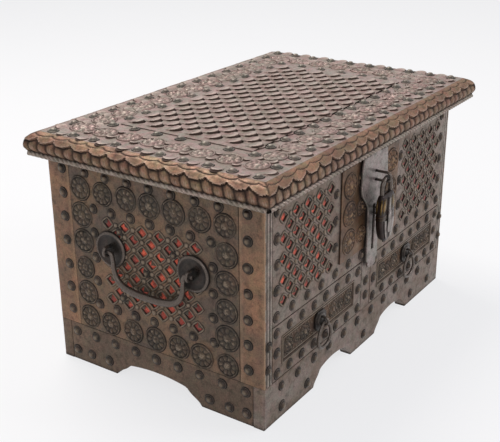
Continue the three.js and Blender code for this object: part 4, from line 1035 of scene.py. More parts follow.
# The room that the ring of nails leaves for each hinge leaf
HINGE_U = 120.0
HINGE_CLEAR = 26.5
HINGE_FOOT_V = 176.0


class STRONGBOX_OT_back(bpy.types.Operator):
    """Makes the plain back sheet with its ring of nails, which leaves room for the hinges."""

    bl_idname = "strongbox.back"
    bl_label = "Back sheet"

    def execute(self, context):
        matrix = FACES["back"]
        loops = [rectangle(-FRONT_HALF, SHEET_LOW, FRONT_HALF, SHEET_HIGH)]
        sheet = plate_mesh("sheet", loops, -SHEET, 0, matrix)
        piece("back_plain_sheet", sheet, "end", "body", ["back_sheet"])
        middle = (SHEET_LOW + SHEET_HIGH) / 2
        places = [(u, middle + v) for u, v in border_places(BACK_NAIL_U, BACK_NAIL_V, 9, 4)
                  if abs(abs(u) - HINGE_U) > HINGE_CLEAR or middle + v < HINGE_FOOT_V]
        nail_piece("back_nails", 51, places, matrix)
        return {"FINISHED"}


# Corner irons, in millimetres

CORNER_LONG = 29.25
CORNER_SHORT = 13.5
CORNER_THICK = 2.5
CORNER_LAP = 1.2
CORNER_STEPS = 48
CORNER_NAIL_U = 118.5
CORNER_NAIL_V = 148.75
CORNER_NAIL_PITCH = 27.75
FACE_NAIL_U = 203.25
FACE_NAIL_SCALE = 0.95
# The short leg carries two pressed grooves: place along the leg and depth
GROOVES = ((CORNER_LAP, 0.0), (3.2, 0.0), (3.7, 0.9), (4.6, 0.9), (5.1, 0.0), (8.4, 0.0), (8.9, 0.9),
           (9.8, 0.9), (10.3, 0.0), (12.9, 0.0), (CORNER_SHORT, 0.45))


def long_leg():
    """The leg on the end in plan: (along the face, depth behind it, how light it is painted), from the
    corner.
    """
    return [(0.0, CORNER_LAP, 1.0), (0.1, 0.4, 1.0), (0.35, 0.1, 1.0), (1.0, 0.0, 0.8),
            (CORNER_LONG / 3, 0.0, 0.5), (CORNER_LONG * 2 / 3, 0.0, 0.5), (CORNER_LONG - 0.8, 0.0, 0.9),
            (CORNER_LONG, 0.45, 0.3), (CORNER_LONG, CORNER_THICK, 0.0), (0.0, CORNER_THICK, 0.0)]


def short_leg():
    """The leg on the front or back in plan: (depth behind it, along the face, how light it is painted), from
    the corner.
    """
    outer = [(depth, along, 0.0 if depth > 0.5 else 0.75) for along, depth in GROOVES]
    inner = [(CORNER_THICK, CORNER_SHORT, 0.0), (CORNER_THICK, CORNER_LAP, 0.0), (0.4, CORNER_LAP, 0.5)]
    return outer + inner


def corner_iron_mesh(name, section, sign_x, sign_y, seed):
    """One leg of an angle iron, swept up the corner with the slight waves of forged strip."""
    relief = Relief(seed)
    corner_x = sign_x * END_X
    corner_y = FRONT_Y if sign_y < 0 else BACK_Y
    rings = []
    for i in range(CORNER_STEPS + 1):
        z = SHEET_LOW + (SHEET_HIGH - SHEET_LOW) * i / CORNER_STEPS
        ring = []
        for along, depth, share in section:
            wave = 0.12 * noise.noise(Vector((along / 9, depth / 9 + seed, z / 14)))
            x = corner_x - sign_x * (depth + wave)
            y = corner_y - sign_y * (along + wave)
            ring.append((x, y, z, share))
        rings.append(ring)
    numbers = relief.add_rings(rings)
    relief.faces.append(tuple(numbers[0]))
    relief.faces.append(tuple(reversed(numbers[-1])))
    return swept_mesh(relief, name, 35)


class STRONGBOX_OT_corners(bpy.types.Operator):
    """Makes the four corner irons with their nails."""

    bl_idname = "strongbox.corners"
    bl_label = "Corner irons"

    def execute(self, context):
        corners = (("front", "left", -1, -1), ("front", "right", 1, -1), ("back", "left", -1, 1),
                   ("back", "right", 1, 1))
        for number, (face, end, sign_x, sign_y) in enumerate(corners):
            name = f"corner_iron_{face}_{end}"
            mesh = corner_iron_mesh(name, long_leg(), sign_x, sign_y, 60 + number)
            piece(f"{name}_long_leg", mesh, "leg", "body", [name])
            mesh = corner_iron_mesh(name, short_leg(), sign_x, sign_y, 65 + number)
            piece(f"{name}_short_leg", mesh, "strip", "body")
            u = sign_x * sign_y * CORNER_NAIL_U
            places = [(u, CORNER_NAIL_V + v) for v in spaced(7, CORNER_NAIL_PITCH)]
            nail_piece(f"{name}_end_nails", 70 + number, places, FACES[end])
            u = -sign_x * sign_y * FACE_NAIL_U
            places = [(u, v, 0.0, FACE_NAIL_SCALE) for v in (67.0, 93.0)]
            nail_piece(f"{name}_face_nails", 80 + number, places, FACES[face])
        return {"FINISHED"}


# Plinth, in millimetres

PLINTH_THICK = 14.0
PLINTH_END_HALF = 123.75
PLINTH_HIGH_NAILS = 38.0
PLINTH_LOW_NAILS = 13.5
# Heights of an arch at its cusps, at the spring of its crown and at its crown
CUSP_V = 15.5
SPRING_V = 17.0
CROWN_V = 20.5
CUSP_WIDTH = 3.0
HAUNCH_SHARE = 0.161


def arch_points(centre, spread):
    """The underside of one arch from its right foot to its left foot, with a cusp at each haunch."""
    half = spread / 2
    inset = HAUNCH_SHARE * spread
    cusp = half - inset
    spring = cusp - CUSP_WIDTH
    right = [(half, 0.0)]
    right += bezier((half, 0), (half - inset / 4, CUSP_V / 2), (cusp + inset / 3, CUSP_V / 2),
                    (cusp, CUSP_V), 8)
    right.append((spring, SPRING_V))
    crown = quadratic((spring, SPRING_V), (0, 2 * CROWN_V - SPRING_V), (-spring, SPRING_V), 14)
    left = [(-u, v) for u, v in reversed(right[:-1])]
    return [(centre + u, v) for u, v in right + crown + left]


def plinth_outline(half, arches):
    """A plinth board seen from outside: square ends and top, arches cut between the feet."""
    outline = [(half, 0.0), (half, PLINTH_TOP), (-half, PLINTH_TOP), (-half, 0.0)]
    for centre, spread in arches:
        outline += reversed(arch_points(centre, spread))
    return outline


class STRONGBOX_OT_plinth(bpy.types.Operator):
    """Makes the four plinth boards on bracket feet, with their nails."""

    bl_idname = "strongbox.plinth"
    bl_label = "Plinth"

    def execute(self, context):
        # Half length, arches as (middle, width), nails of the upper row and nails of the feet
        long_board = (END_X, [(-71.5, 84.0), (71.5, 84.0)], spaced(12, 32.5),
                      [0, -127.5, 127.5, -177.5, 177.5])
        end_board = (PLINTH_END_HALF, [(0, 118.0)], spaced(9, 28.75), [-69.5, 69.5, -95, 95, -116, 116])
        boards = (
            ("front", long_board, "front", "grey_iron"),
            ("back", long_board, "plinth", "grey_iron"),
            ("left", end_board, "plinth", "brown_iron"),
            ("right", end_board, "plinth", "brown_iron"),
        )
        for number, (face, board, look, slot) in enumerate(boards):
            half, arches, upper, lower = board
            mesh = plate_mesh(f"plinth_{face}_board", [plinth_outline(half, arches)], -PLINTH_THICK, 0,
                              FACES[face], rounding=1.0)
            piece(f"plinth_{face}_board", mesh, look, "body", [f"plinth_{face}"])
            places = [(u, PLINTH_HIGH_NAILS) for u in upper] + [(u, PLINTH_LOW_NAILS) for u in lower]
            nail_piece(f"plinth_{face}_nails", 90 + number, places, FACES[face])
        return {"FINISHED"}


# Wire staples

EYE_ARC = 16
EYE_POINTS = EYE_ARC + 3


def eye_path(u, v, foot, reach, bend):
    """The line of a wire staple: out from its foot, round its eye and back, in an upright plane."""
    path = [(u, v + bend, foot)]
    for i in range(EYE_ARC + 1):
        angle = math.pi * i / EYE_ARC
        path.append((u, v + bend * math.cos(angle), foot + reach + bend * math.sin(angle)))
    path.append((u, v - bend, foot))
    return path


# Drawers, in millimetres

DRAWER_MID = 103.5
DRAWER_LOW = span("left_drawer_sheet")[0].z
DRAWER_HIGH = span("left_drawer_sheet")[1].z
DRAWER_INNER = 11.25
DRAWER_OUTER = 195.75
DRAWER_NAIL_PITCH = 24.07
DRAWER_SIDE_NAIL_U = 84.25
# The sunk panel, its middle and how far it lies behind the drawer's front
PANEL_LOW = 65.0
PANEL_HIGH = 93.0
PANEL_MID = (PANEL_LOW + PANEL_HIGH) / 2
PANEL_HALF = 73.5
PANEL_LAP = 2.0
PANEL_SUNK = 0.95
# A bead in section: place across it, height and how light it is painted, dark at its feet as grit and painted
# shade
BEAD = ((1.0, -0.3, 0.0), (0.7, 0.5, 0.8), (0.0, 0.75, 1.0), (-0.7, 0.5, 0.8), (-1.0, -0.3, 0.0))
# The outer bead lies on the drawer's front and the inner one on the panel: inset and height of its foot
BEAD_PLACES = ((-1.2, 0.0), (2.6, -1.0))
# A punched dot from its foot in: radius share, height and how light it is painted
DOT = ((1.0, -0.2, 0.1), (0.8, 0.35, 0.7), (0.4, 0.6, 1.0), (0, 0.65, 1.0))
DOT_RADIUS = 1.25
DOT_PITCH = 5.2
DOT_ROWS = (70.5, 75.0, 83.0, 87.5)
# Rosettes on the panel to either side of the pull: place, scale and number of petals
PANEL_ROSETTES = ((-62.0, 0.68, 8), (-30.0, 0.68, 8), (30.0, 0.68, 8), (62.0, 0.68, 8), (-46.0, 0.42, 5),
                  (46.0, 0.42, 5))
PULL_CLEAR = 13.0
ROSETTE_CLEAR = 7.5
# The drop ring with its back plate and eye
PULL_V = 79.5
PULL_HALF = 11.0
PULL_CUT = 5.0
RING_WIDTH = 12.0
RING_DROP = 30.0
RING_OUT = 6.25
RING_STEPS = 72
# The washer under the eye: radius share, height and how light it is painted
WASHER_SHARES = ((1.0, -0.2, 0.2), (0.92, 1.1, 0.8), (0.7, 1.3, 1.0), (0.6, 0.4, 0.4), (0.3, 0.9, 0.9),
                 (0, 1.0, 1.0))
WASHER_RADIUS = 8.5


def dot_is_clear(u, v):
    """Whether a punched dot stands clear of the pull and of the panel's rosettes."""
    from_rosette = min(abs(u - rosette[0]) for rosette in PANEL_ROSETTES)
    beside = v not in (DOT_ROWS[0], DOT_ROWS[-1])
    return abs(u) > PULL_CLEAR and from_rosette > (ROSETTE_CLEAR if beside else 0)


def drawer_panel(relief, centre):
    """Punched work of the sunk panel: two beads round it, rows of dots and small rosettes."""
    for inset, foot in BEAD_PLACES:
        half_u = PANEL_HALF - inset
        half_v = (PANEL_HIGH - PANEL_LOW) / 2 - inset
        rings = []
        for out, up, share in BEAD:
            rings.append([(centre + a * (half_u + out), PANEL_MID + b * (half_v + out), foot + up, share)
                          for a, b in ((-1, -1), (1, -1), (1, 1), (-1, 1))])
        relief.add_rings(rings)
    for row, v in enumerate(DOT_ROWS):
        for u in spaced(26 if row % 2 else 27, DOT_PITCH):
            if dot_is_clear(u, v):
                relief.add_round(centre + u, v, DOT_RADIUS, DOT, 8, base=-PANEL_SUNK, squeeze=0.15)
    for u, scale, petals in PANEL_ROSETTES:
        add_rosette(relief, centre + u, PANEL_MID, base=-PANEL_SUNK, scale=scale, petals=petals)


class STRONGBOX_OT_drawers(bpy.types.Operator):
    """Makes the two drawer fronts with their punched panels, nails, back plates and drop rings."""

    bl_idname = "strongbox.drawers"
    bl_label = "Drawers"

    def execute(self, context):
        matrix = FACES["front"]
        for number, (name, sign) in enumerate((("left", -1), ("right", 1))):
            body = f"{name}_drawer"
            centre = sign * DRAWER_MID
            u0, u1 = sorted((sign * DRAWER_INNER, sign * DRAWER_OUTER))
            window = rectangle(centre - PANEL_HALF, PANEL_LOW, centre + PANEL_HALF, PANEL_HIGH)
            lapped = rectangle(centre - PANEL_HALF - PANEL_LAP, PANEL_LOW - PANEL_LAP,
                               centre + PANEL_HALF + PANEL_LAP, PANEL_HIGH + PANEL_LAP)
            outline = rectangle(u0, DRAWER_LOW, u1, DRAWER_HIGH)
            front = plate_mesh("front", [outline, window], -SHEET, 0, matrix, rounding=0.7)
            piece(f"{name}_drawer_front", front, "front", body, [f"{name}_drawer_sheet"])
            # The sunk panel's low share makes the finish paint it darker, as grit and as painted shade in its
            # recess
            sunk = plate_mesh("sunk", [lapped], -SHEET - 0.5, -PANEL_SUNK, matrix, rounding=0.2, share=0.3)
            piece(f"{name}_drawer_panel", sunk, "lock_plate", body)
            punched = Relief(100 + number)
            drawer_panel(punched, centre)
            piece(f"{name}_drawer_punching", punched.mesh("punching", matrix), "rosette", body)
            places = [(centre + u, v) for v in (56.0, 102.0) for u in spaced(8, DRAWER_NAIL_PITCH)]
            places += [(centre + u, PULL_V) for u in (-DRAWER_SIDE_NAIL_U, DRAWER_SIDE_NAIL_U)]
            nail_piece(f"{name}_drawer_nails", 110 + number, places, matrix, body)
            self.pull(name, centre, 120 + number)
        return {"FINISHED"}

    def pull(self, name, centre, seed):
        """The back plate with its eye, and the drop ring that hangs from it."""
        matrix = FACES["front"]
        inner = PULL_HALF - PULL_CUT
        outline = [(centre + a, PULL_V + b) for a, b in (
            (-inner, -PULL_HALF), (inner, -PULL_HALF), (PULL_HALF, -inner), (PULL_HALF, inner),
            (inner, PULL_HALF), (-inner, PULL_HALF), (-PULL_HALF, inner), (-PULL_HALF, -inner))]
        plate = plate_mesh("plate", [outline], GAP, GAP + SHEET, matrix, rounding=0.4)
        eye = Relief(seed)
        path = eye_path(centre, PULL_V, GAP + SHEET / 2, 4.5 + SHEET / 2, 4.25)
        eye.add_bar(path, [1.25] * EYE_POINTS, (1, 0, 0))
        eye.add_round(centre, PULL_V, WASHER_RADIUS, WASHER_SHARES, 24, base=GAP + SHEET)
        mesh = joined_mesh("back_plate", [plate, eye.mesh("eye", matrix)])
        piece(f"{name}_pull_plate", mesh, "handle", f"{name}_drawer", [f"{name}_ring_plate"])
        ring = Relief(seed + 5)
        path = []
        radii = []
        for i in range(RING_STEPS):
            angle = TURN * i / RING_STEPS
            down = (1 - math.cos(angle)) / 2
            across = RING_WIDTH * math.sin(angle) * (1 + down) / math.sqrt(2)
            path.append((centre + across, PULL_V - 0.5 - RING_DROP * down, RING_OUT))
            radii.append(1.45 + 0.35 * down)
        ring.add_bar(path, radii, (0, 0, 1), sides=14, closed=True)
        piece(f"{name}_drop_ring", ring.mesh("ring", matrix), "handle", f"{name}_ring",
              [f"{name}_drawer_ring"])


# Lid: places from its middle, in millimetres

LID_SHEET_U = 223.25
LID_SHEET_V = 140.0
LID_ROSETTE_U = 190.5
LID_ROSETTE_V = 108.5
LID_ROSETTE_STRAY = 0.8
LID_NAIL_U = 215.5
LID_NAIL_V = 127.25
INNER_NAIL_U = 166.0
INNER_NAIL_V = 90.0
FIELD_U = 160.0
FIELD_V = 84.0
FIELD_RISE = 1.0
TONGUE_HALF = 8.0
TONGUE_REACH = 7.0
TONGUE_PITCH_U = 26.2
TONGUE_PITCH_V = 12.6
TONGUE_STEPS = 14
# A tongue from its free edge to its root: share of the way, height share and how light it is painted; its
# free edge is painted dark as the shade under the lip, and its rim light as wear and a painted highlight
TONGUE_SHARES = ((0.0, 0.5, 0.0), (0.0, 0.82, 0.05), (0.03, 1.0, 0.95), (0.14, 0.98, 1.0), (0.35, 0.8, 0.9),
                 (0.65, 0.42, 0.6), (1.0, -0.04, 0.4))
# What lies before its free edge: the dark wall of a cut, or where the sheet isn't cut through a dark crescent
# on the sheet, a painted shadow of the lip with grit
CUT_SHARES = ((0.0, -0.9, 0.0),)
PAINTED_SHADOW_SHARES = ((-0.2, -0.04, 0.0), (-0.18, 0.03, 0.0), (0.0, 0.04, 0.0))
# How far a cut reaches past its tongue: at its ends, before it and under it
CUT_SIDE = 0.4
CUT_FRONT = 3.2
CUT_UNDER = 0.8
CUT_STEPS = 10


def crescent_loop(u, v):
    """The cut in front of one tongue: a sickle under its free edge."""
    outer, inner = [], []
    for i in range(CUT_STEPS + 1):
        angle = math.pi * (1.06 + 0.88 * i / CUT_STEPS)
        c, s = math.cos(angle), math.sin(angle)
        outer.append((u + (TONGUE_HALF + CUT_SIDE) * c, v + (TONGUE_HALF + CUT_FRONT) * s + 0.6))
        inner.append((u + (TONGUE_HALF - CUT_UNDER) * c, v + (TONGUE_HALF - CUT_UNDER) * s))
    return outer + inner[::-1]


def add_tongue(relief, u, v, rise, scale=1.0, facing=0.0, base=FIELD_RISE, before=CUT_SHARES):
    """One tongue, cut free in a half circle and lifted; facing turns it."""
    radius, reach = TONGUE_HALF * scale, TONGUE_REACH * scale
    tilt = relief.chance.uniform(-0.15, 0.15)
    turn_c, turn_s = math.cos(facing), math.sin(facing)
    grid = []
    for back, height, share in (*before, *TONGUE_SHARES):
        ring = []
        for i in range(TONGUE_STEPS + 1):
            angle = math.pi * (1 + i / TONGUE_STEPS)
            c, s = math.cos(angle), math.sin(angle)
            start = radius * s
            b = start + (reach - start) * back
            a = radius * c * (1 - 0.06 * back)
            w = rise * height * (0.72 + 0.28 * -s) * (1 + tilt * c) if height > 0 else height
            if i in (0, TONGUE_STEPS):
                w = min(w, -0.1)
            ring.append((u + a * turn_c - b * turn_s, v + a * turn_s + b * turn_c, base + w, share))
        grid.append(ring)
    relief.add_rings(grid, closed=False)


def border_tongue_places():
    """Small tongues of the lid's border: (u, v, size, way they face), between its rosettes and its nails."""
    places = []
    for sign, facing in ((-1, 0.0), (1, math.pi)):
        for u in spaced(12, 2 * LID_ROSETTE_U / 12):
            places += [(u, sign * 117.0, 0.62, facing), (u, sign * 101.0, 0.5, facing)]
        for u in spaced(14, 2 * LID_NAIL_U / 14):
            places.append((u, sign * 130.0, 0.8, facing))
    for sign, facing in ((-1, -math.pi / 2), (1, math.pi / 2)):
        for v in spaced(7, 2 * LID_ROSETTE_V / 7):
            places += [(sign * 199.0, v, 0.62, facing), (sign * 183.0, v, 0.5, facing)]
        for v in spaced(9, 2 * LID_NAIL_V / 9):
            places.append((sign * 218.0, v, 0.8, facing))
    return places


# The lid's edge in section: inset share, height share
SECTION_SHARES = ((1.0, 0.0), (0.56, 0.0), (0.4, 0.06), (0.24, 0.2), (0.14, 0.27), (0.03, 0.36), (0.0, 0.45),
                  (0.02, 0.55), (0.07, 0.65), (0.15, 0.74), (0.27, 0.82), (0.42, 0.89), (0.58, 0.93),
                  (0.74, 0.965), (0.88, 0.99), (1.0, 1.0))
EDGE_DEPTH = 13.0
EDGE_STEP = 1.05
EDGE_SAMPLES = 44
# The edge's sides are cut apart in the pattern of petals by this much
EDGE_APART = 331.7
PETAL_LOW_SHARE = 0.3
PETAL_HIGH_SHARE = 0.99
PETAL_PITCH = 12.5
SCALLOP_PITCH = 24.5
# The twisted lip: its strands, one full turn, and how its middle lies in from the edge and up from below
STRANDS = 3
ROPE_RADIUS = 3.0
ROPE_TURN = 19.0
ROPE_INSET = 4.4
ROPE_UP = 3.4
ROPE_STEP = 1.3
ROPE_SIDES = 18


def edge_section():
    """The lid's edge resampled evenly from below: (place, the way out of it, share of the length)."""
    height = LID_TOP - MOULDING_LOW
    points = [Vector((a * EDGE_DEPTH, b * height)) for a, b in SECTION_SHARES]
    lengths = [(b - a).length for a, b in zip(points, points[1:])]
    total = sum(lengths)
    samples = []
    for i in range(EDGE_SAMPLES + 1):
        along = total * i / EDGE_SAMPLES
        k = 0
        while k < len(lengths) - 1 and along > lengths[k]:
            along -= lengths[k]
            k += 1
        place = points[k].lerp(points[k + 1], min(1, along / lengths[k]))
        direction = (points[k + 1] - points[k]).normalized()
        samples.append((place, Vector((-direction.y, direction.x)), i / EDGE_SAMPLES))
    return samples


def edge_relief(along, share, depth):
    """How far the embossed edge rises or sinks at a place, and how light it is painted there: dark in the
    cuts between the petals, light on their ridges.
    """
    if share < PETAL_LOW_SHARE:
        return 0.0, 0.15
    if share > PETAL_HIGH_SHARE:
        return 0.0, 0.4
    stray = along + 1.6 * noise.noise(Vector((along / 21, 0.0, 4.0)))
    scallop = abs(math.sin(math.pi * stray / SCALLOP_PITCH))
    lip = 0.77 - 0.13 * eased(scallop, 0.55) + 0.02 * noise.noise(Vector((along / 9, 0.0, 8.0)))
    if share > lip:
        inward = (share - lip) / 0.1
        rise = eased(1 - inward, 1.0)
        second = abs(math.sin(math.pi * (stray / SCALLOP_PITCH + 0.5)))
        inner_lip = 0.93 - 0.09 * eased(second, 0.6)
        cut = math.exp(-((share - inner_lip) / 0.012) ** 2)
        return 0.55 * depth * rise - 0.35 * depth * cut, max(0.0, 0.5 + 0.5 * rise - 0.9 * cut)
    under = (lip - share) / 0.035
    place = (share - PETAL_LOW_SHARE) / (lip - PETAL_LOW_SHARE)
    slant = stray + 3.0 * place
    lobe = abs(math.sin(math.pi * slant / PETAL_PITCH))
    round_end = eased(math.sin(math.pi * min(1, 0.12 + 0.88 * place)), 0.45)
    ribs = 0.1 * math.cos(8 * math.pi * slant / PETAL_PITCH)
    rise = max(0.0, eased(lobe, 0.5) * round_end - ribs * lobe * 0.8 - 0.08)
    if under < 1:
        rise *= under
    return -1.1 * depth * (1 - rise), eased(rise, 1.8)


def edge_mesh(name, depth):
    """The embossed edge: its section swept along four sides and mitred at the corners."""
    relief = Relief(130)
    section = edge_section()
    full_height = LID_TOP - MOULDING_LOW
    for quarter in range(4):
        half_along, half_out = (LID_HALF_X, LID_HALF_Y) if quarter % 2 == 0 else (LID_HALF_Y, LID_HALF_X)
        turn = Matrix.Rotation(quarter * math.pi / 2, 3, "Z")
        steps = round(2 * half_along / EDGE_STEP)
        rings = []
        for i in range(steps + 1):
            along = -half_along + 2 * half_along * i / steps
            end = min(1.0, (half_along - abs(along)) / 2.5)
            ring = []
            for place, out, share in section:
                sink, lightness = edge_relief(along + EDGE_APART * quarter, share, depth)
                wave = 0.3 * noise.noise(Vector((along / 23, quarter * 9.0, place.y / 19)))
                sink = (sink + wave) * end - 0.4 * (1 - end)
                if share in (0.0, 1.0):
                    sink = 0.0
                inset = max(0.05, place.x + sink * out.x)
                spot = turn @ Vector((along * (half_along - inset) / half_along, -(half_out - inset), 0))
                height = min(place.y + sink * out.y, full_height + 0.4)
                ring.append((spot.x, spot.y + LID_MID, MOULDING_LOW + height, lightness * (0.2 + 0.8 * end)))
            rings.append(ring)
        numbers = relief.add_rings(rings, closed=False)
        relief.join_rings([ring[-1] for ring in numbers], [ring[0] for ring in numbers], closed=False)
    return swept_mesh(relief, name, 60, weld=0.02)


def rope_mesh(name):
    """The twisted lip under the lid's edge: three strands laid round all four sides."""
    relief = Relief(131)
    half_x, half_y = LID_HALF_X - ROPE_INSET, LID_HALF_Y - ROPE_INSET
    corners = [(-half_x, -half_y), (half_x, -half_y), (half_x, half_y), (-half_x, half_y)]
    travelled = 0.0
    for number, (x, y) in enumerate(corners):
        next_x, next_y = corners[(number + 1) % 4]
        length = math.hypot(next_x - x, next_y - y)
        way = Vector((next_x - x, next_y - y, 0)) / length
        out = Vector((way.y, -way.x, 0))
        steps = round(length / ROPE_STEP)
        rings = []
        for i in range(steps + 1):
            along = length * i / steps
            turned = TURN * (travelled + along) / ROPE_TURN
            ring = []
            for k in range(ROPE_SIDES):
                angle = TURN * k / ROPE_SIDES
                strand = abs(math.cos(STRANDS / 2 * (angle + turned)))
                swell = 0.62 + 0.38 * eased(strand, 0.55)
                across = ROPE_RADIUS * swell * math.cos(angle) * 1.15
                up = ROPE_RADIUS * swell * math.sin(angle)
                reach = min(max(along, -across), length + across)
                spot = Vector((x, y, 0)) + way * reach + out * across
                # Painted dark between the strands, as grit and as painted shade, and light on their crowns
                lightness = eased(2.6 * (swell - 0.66), 1.0)
                ring.append((spot.x, spot.y + LID_MID, MOULDING_LOW + ROPE_UP + up, lightness))
            rings.append(ring)
        relief.add_rings(rings)
        travelled += length
    return relief.mesh(name, FACES["plan"])


class STRONGBOX_OT_lid(bpy.types.Operator):
    """Makes the lid's top sheet with its rosettes and nails, the field of tongues and the embossed edge."""

    bl_idname = "strongbox.lid"
    bl_label = "Lid"

    def execute(self, context):
        sizes = context.scene.strongbox_sizes
        rise = sizes.tongue_rise / MM
        matrix = FACES["top"]
        loops = [rectangle(-LID_SHEET_U, -LID_SHEET_V, LID_SHEET_U, LID_SHEET_V),
                 rectangle(-FIELD_U, -FIELD_V, FIELD_U, FIELD_V)]
        sheet = plate_mesh("sheet", loops, -SHEET, 0, matrix)
        piece("lid_top_sheet", sheet, "lid", "lid", ["lid_sheet"])
        stamped = Relief(140)
        chance = stamped.chance.uniform
        for u, v in border_places(LID_ROSETTE_U, LID_ROSETTE_V, 13, 8):
            add_rosette(stamped, u + chance(-LID_ROSETTE_STRAY, LID_ROSETTE_STRAY),
                        v + chance(-LID_ROSETTE_STRAY, LID_ROSETTE_STRAY), scale=chance(0.95, 1.06), wear=0.6)
        piece("lid_rosettes", stamped.mesh("rosettes", matrix), "lid", "lid")
        places = border_places(LID_NAIL_U, LID_NAIL_V, 15, 10)
        places += border_places(INNER_NAIL_U, INNER_NAIL_V, 13, 7)
        nail_piece("lid_nails", 141, places, matrix, "lid", "lid_nail")
        places = diamond_places(0, 0, 12, 13, TONGUE_PITCH_U, TONGUE_PITCH_V)
        loops = [rectangle(-FIELD_U + GAP, -FIELD_V + GAP, FIELD_U - GAP, FIELD_V - GAP)]
        loops += [crescent_loop(u, v) for u, v in places]
        plate = plate_mesh("field", loops, FIELD_RISE - SHEET, FIELD_RISE, matrix, rounding=0.25)
        piece("lid_field_plate", plate, "lid", "lid", ["lid_field"])
        tongues = Relief(142)
        for u, v in places:
            add_tongue(tongues, u, v, rise * tongues.chance.uniform(0.85, 1.1))
        piece("lid_tongues", tongues.mesh("tongues", matrix), "lid", "lid")
        lips = Relief(143)
        chance = lips.chance.uniform
        for u, v, scale, facing in border_tongue_places():
            add_tongue(lips, u + chance(-1, 1), v + chance(-1, 1), 0.85 * rise * chance(0.7, 1.1),
                       scale * chance(0.85, 1.1), facing + chance(-0.25, 0.25), base=0.0, before=PAINTED_SHADOW_SHARES)
        piece("lid_border_lips", lips.mesh("lips", matrix), "lid", "lid")
        edge = edge_mesh("edge", sizes.petal_depth / MM)
        piece("lid_embossed_edge", edge, "edge", "lid", ["lid_moulding"])
        piece("lid_twisted_lip", rope_mesh("rope"), "lip", "lid")
        return {"FINISHED"}


# Handles, in millimetres

# Half a bail from its pin to its middle: share of its half width and share of its drop
BAIL_SHARES = ((1.12, 0), (1.03, 0.06), (1.0, 0.24), (0.98, 0.5), (0.88, 0.76), (0.66, 0.92), (0.34, 0.99))
BAIL_HALF = 46.0
BAIL_DROP = 39.5
BAIL_PIN = 58.0
BAIL_OUT = 8.0
BAIL_HIGH = HANDLE_V - GAP
# A bail's radius at its pins and how much it grows to its middle
BAIL_RADIUS = 2.25
BAIL_SWELL = 1.75
# The round back plate: radius share, height and how light it is painted
ROSE_SHARES = ((1.0, 0.0, 0.1), (1.0, 1.2, 0.6), (0.97, 2.3, 1.0), (0.92, 3.1, 1.0), (0.86, 3.2, 0.9),
               (0.8, 2.4, 0.4), (0.72, 1.95, 0.3), (0.55, 1.75, 0.5), (0.3, 1.8, 0.6), (0.12, 1.9, 0.6),
               (0, 1.9, 0.6))


class STRONGBOX_OT_handles(bpy.types.Operator):
    """Makes the round back plates, staples and drop bails of both ends."""

    bl_idname = "strongbox.handles"
    bl_label = "Handles"

    def execute(self, context):
        for number, end in enumerate(("left", "right")):
            matrix = FACES[end]
            for sign in (1, -1):
                where = "front" if (sign > 0) == (end == "left") else "back"
                dish = Relief(150 + number)
                dish.add_round(sign * HANDLE_U, HANDLE_V, HANDLE_PLATE_RADIUS, ROSE_SHARES, 56, base=GAP,
                               lean=0.1)
                piece(f"{end}_rose_{where}", dish.mesh("rose", matrix), "handle", "body",
                      [f"{end}_handle_plate_{where}"])
                staple = Relief(160 + number)
                path = eye_path(sign * HANDLE_U, HANDLE_V, 2.5, 5.5, 4.75)
                staple.add_bar(path, [1.75] * EYE_POINTS, (1, 0, 0))
                piece(f"{end}_staple_{where}", staple.mesh("staple", matrix), "handle", "body",
                      [f"{end}_handle_staple_{where}"])
            right = [(BAIL_PIN, BAIL_HIGH, BAIL_OUT)]
            right += [(a * BAIL_HALF, BAIL_HIGH - b * BAIL_DROP, BAIL_OUT) for a, b in BAIL_SHARES]
            left = [(-u, v, w) for u, v, w in right]
            route = catmull(left + [(0, BAIL_HIGH - BAIL_DROP, BAIL_OUT)] + right[::-1], 7)
            radii = []
            for point in route:
                share = min(1.0, max(0.0, (BAIL_HIGH - point.y) / BAIL_DROP))
                radii.append(BAIL_RADIUS + BAIL_SWELL * share * share)
            bail = Relief(170 + number)
            bail.add_bar(route, radii, (0, 0, 1), sides=18)
            piece(f"{end}_drop_bail", bail.mesh("bail", matrix), "handle", f"{end}_handle",
                  [f"{end}_bail"])
        return {"FINISHED"}


# Hasp: places from the middle of the front, up from the floor and out of the sheet, in millimetres

HASP_BACK = 4.0
HASP_FRONT = 6.5
HASP_TOP = 237.75
HASP_BELLY = 206.0
HASP_NECK = 170.0
HASP_SHOULDER = 111.0
HASP_TIP = 103.0
HASP_TOP_HALF = 27.0
HASP_BELLY_HALF = 30.0
HASP_TONGUE_HALF = 12.5
HASP_TIP_HALF = 9.5
HASP_ROUND = 4.0
HASP_AXIS_V = 242.0
KNUCKLE_HALF = 10.0
KNUCKLE_RADIUS = 3.0
KNUCKLE_BORE = 1.65
KNUCKLE_SOFT = 0.3
KNUCKLE_SIDES = 24
# The slot that the keeper comes through
SLOT_HALF = 2.75
SLOT_LOW = 124.5
SLOT_HIGH = 178.7
KEEPER_V = 171.45
KEEPER_FOOT_HALF_U = 8.0
KEEPER_FOOT_HALF_V = 13.0
KEEPER_FOOT_BACK = 2.0
KEEPER_FOOT_FRONT = 3.5
LOCK_EYE_V = 212.5


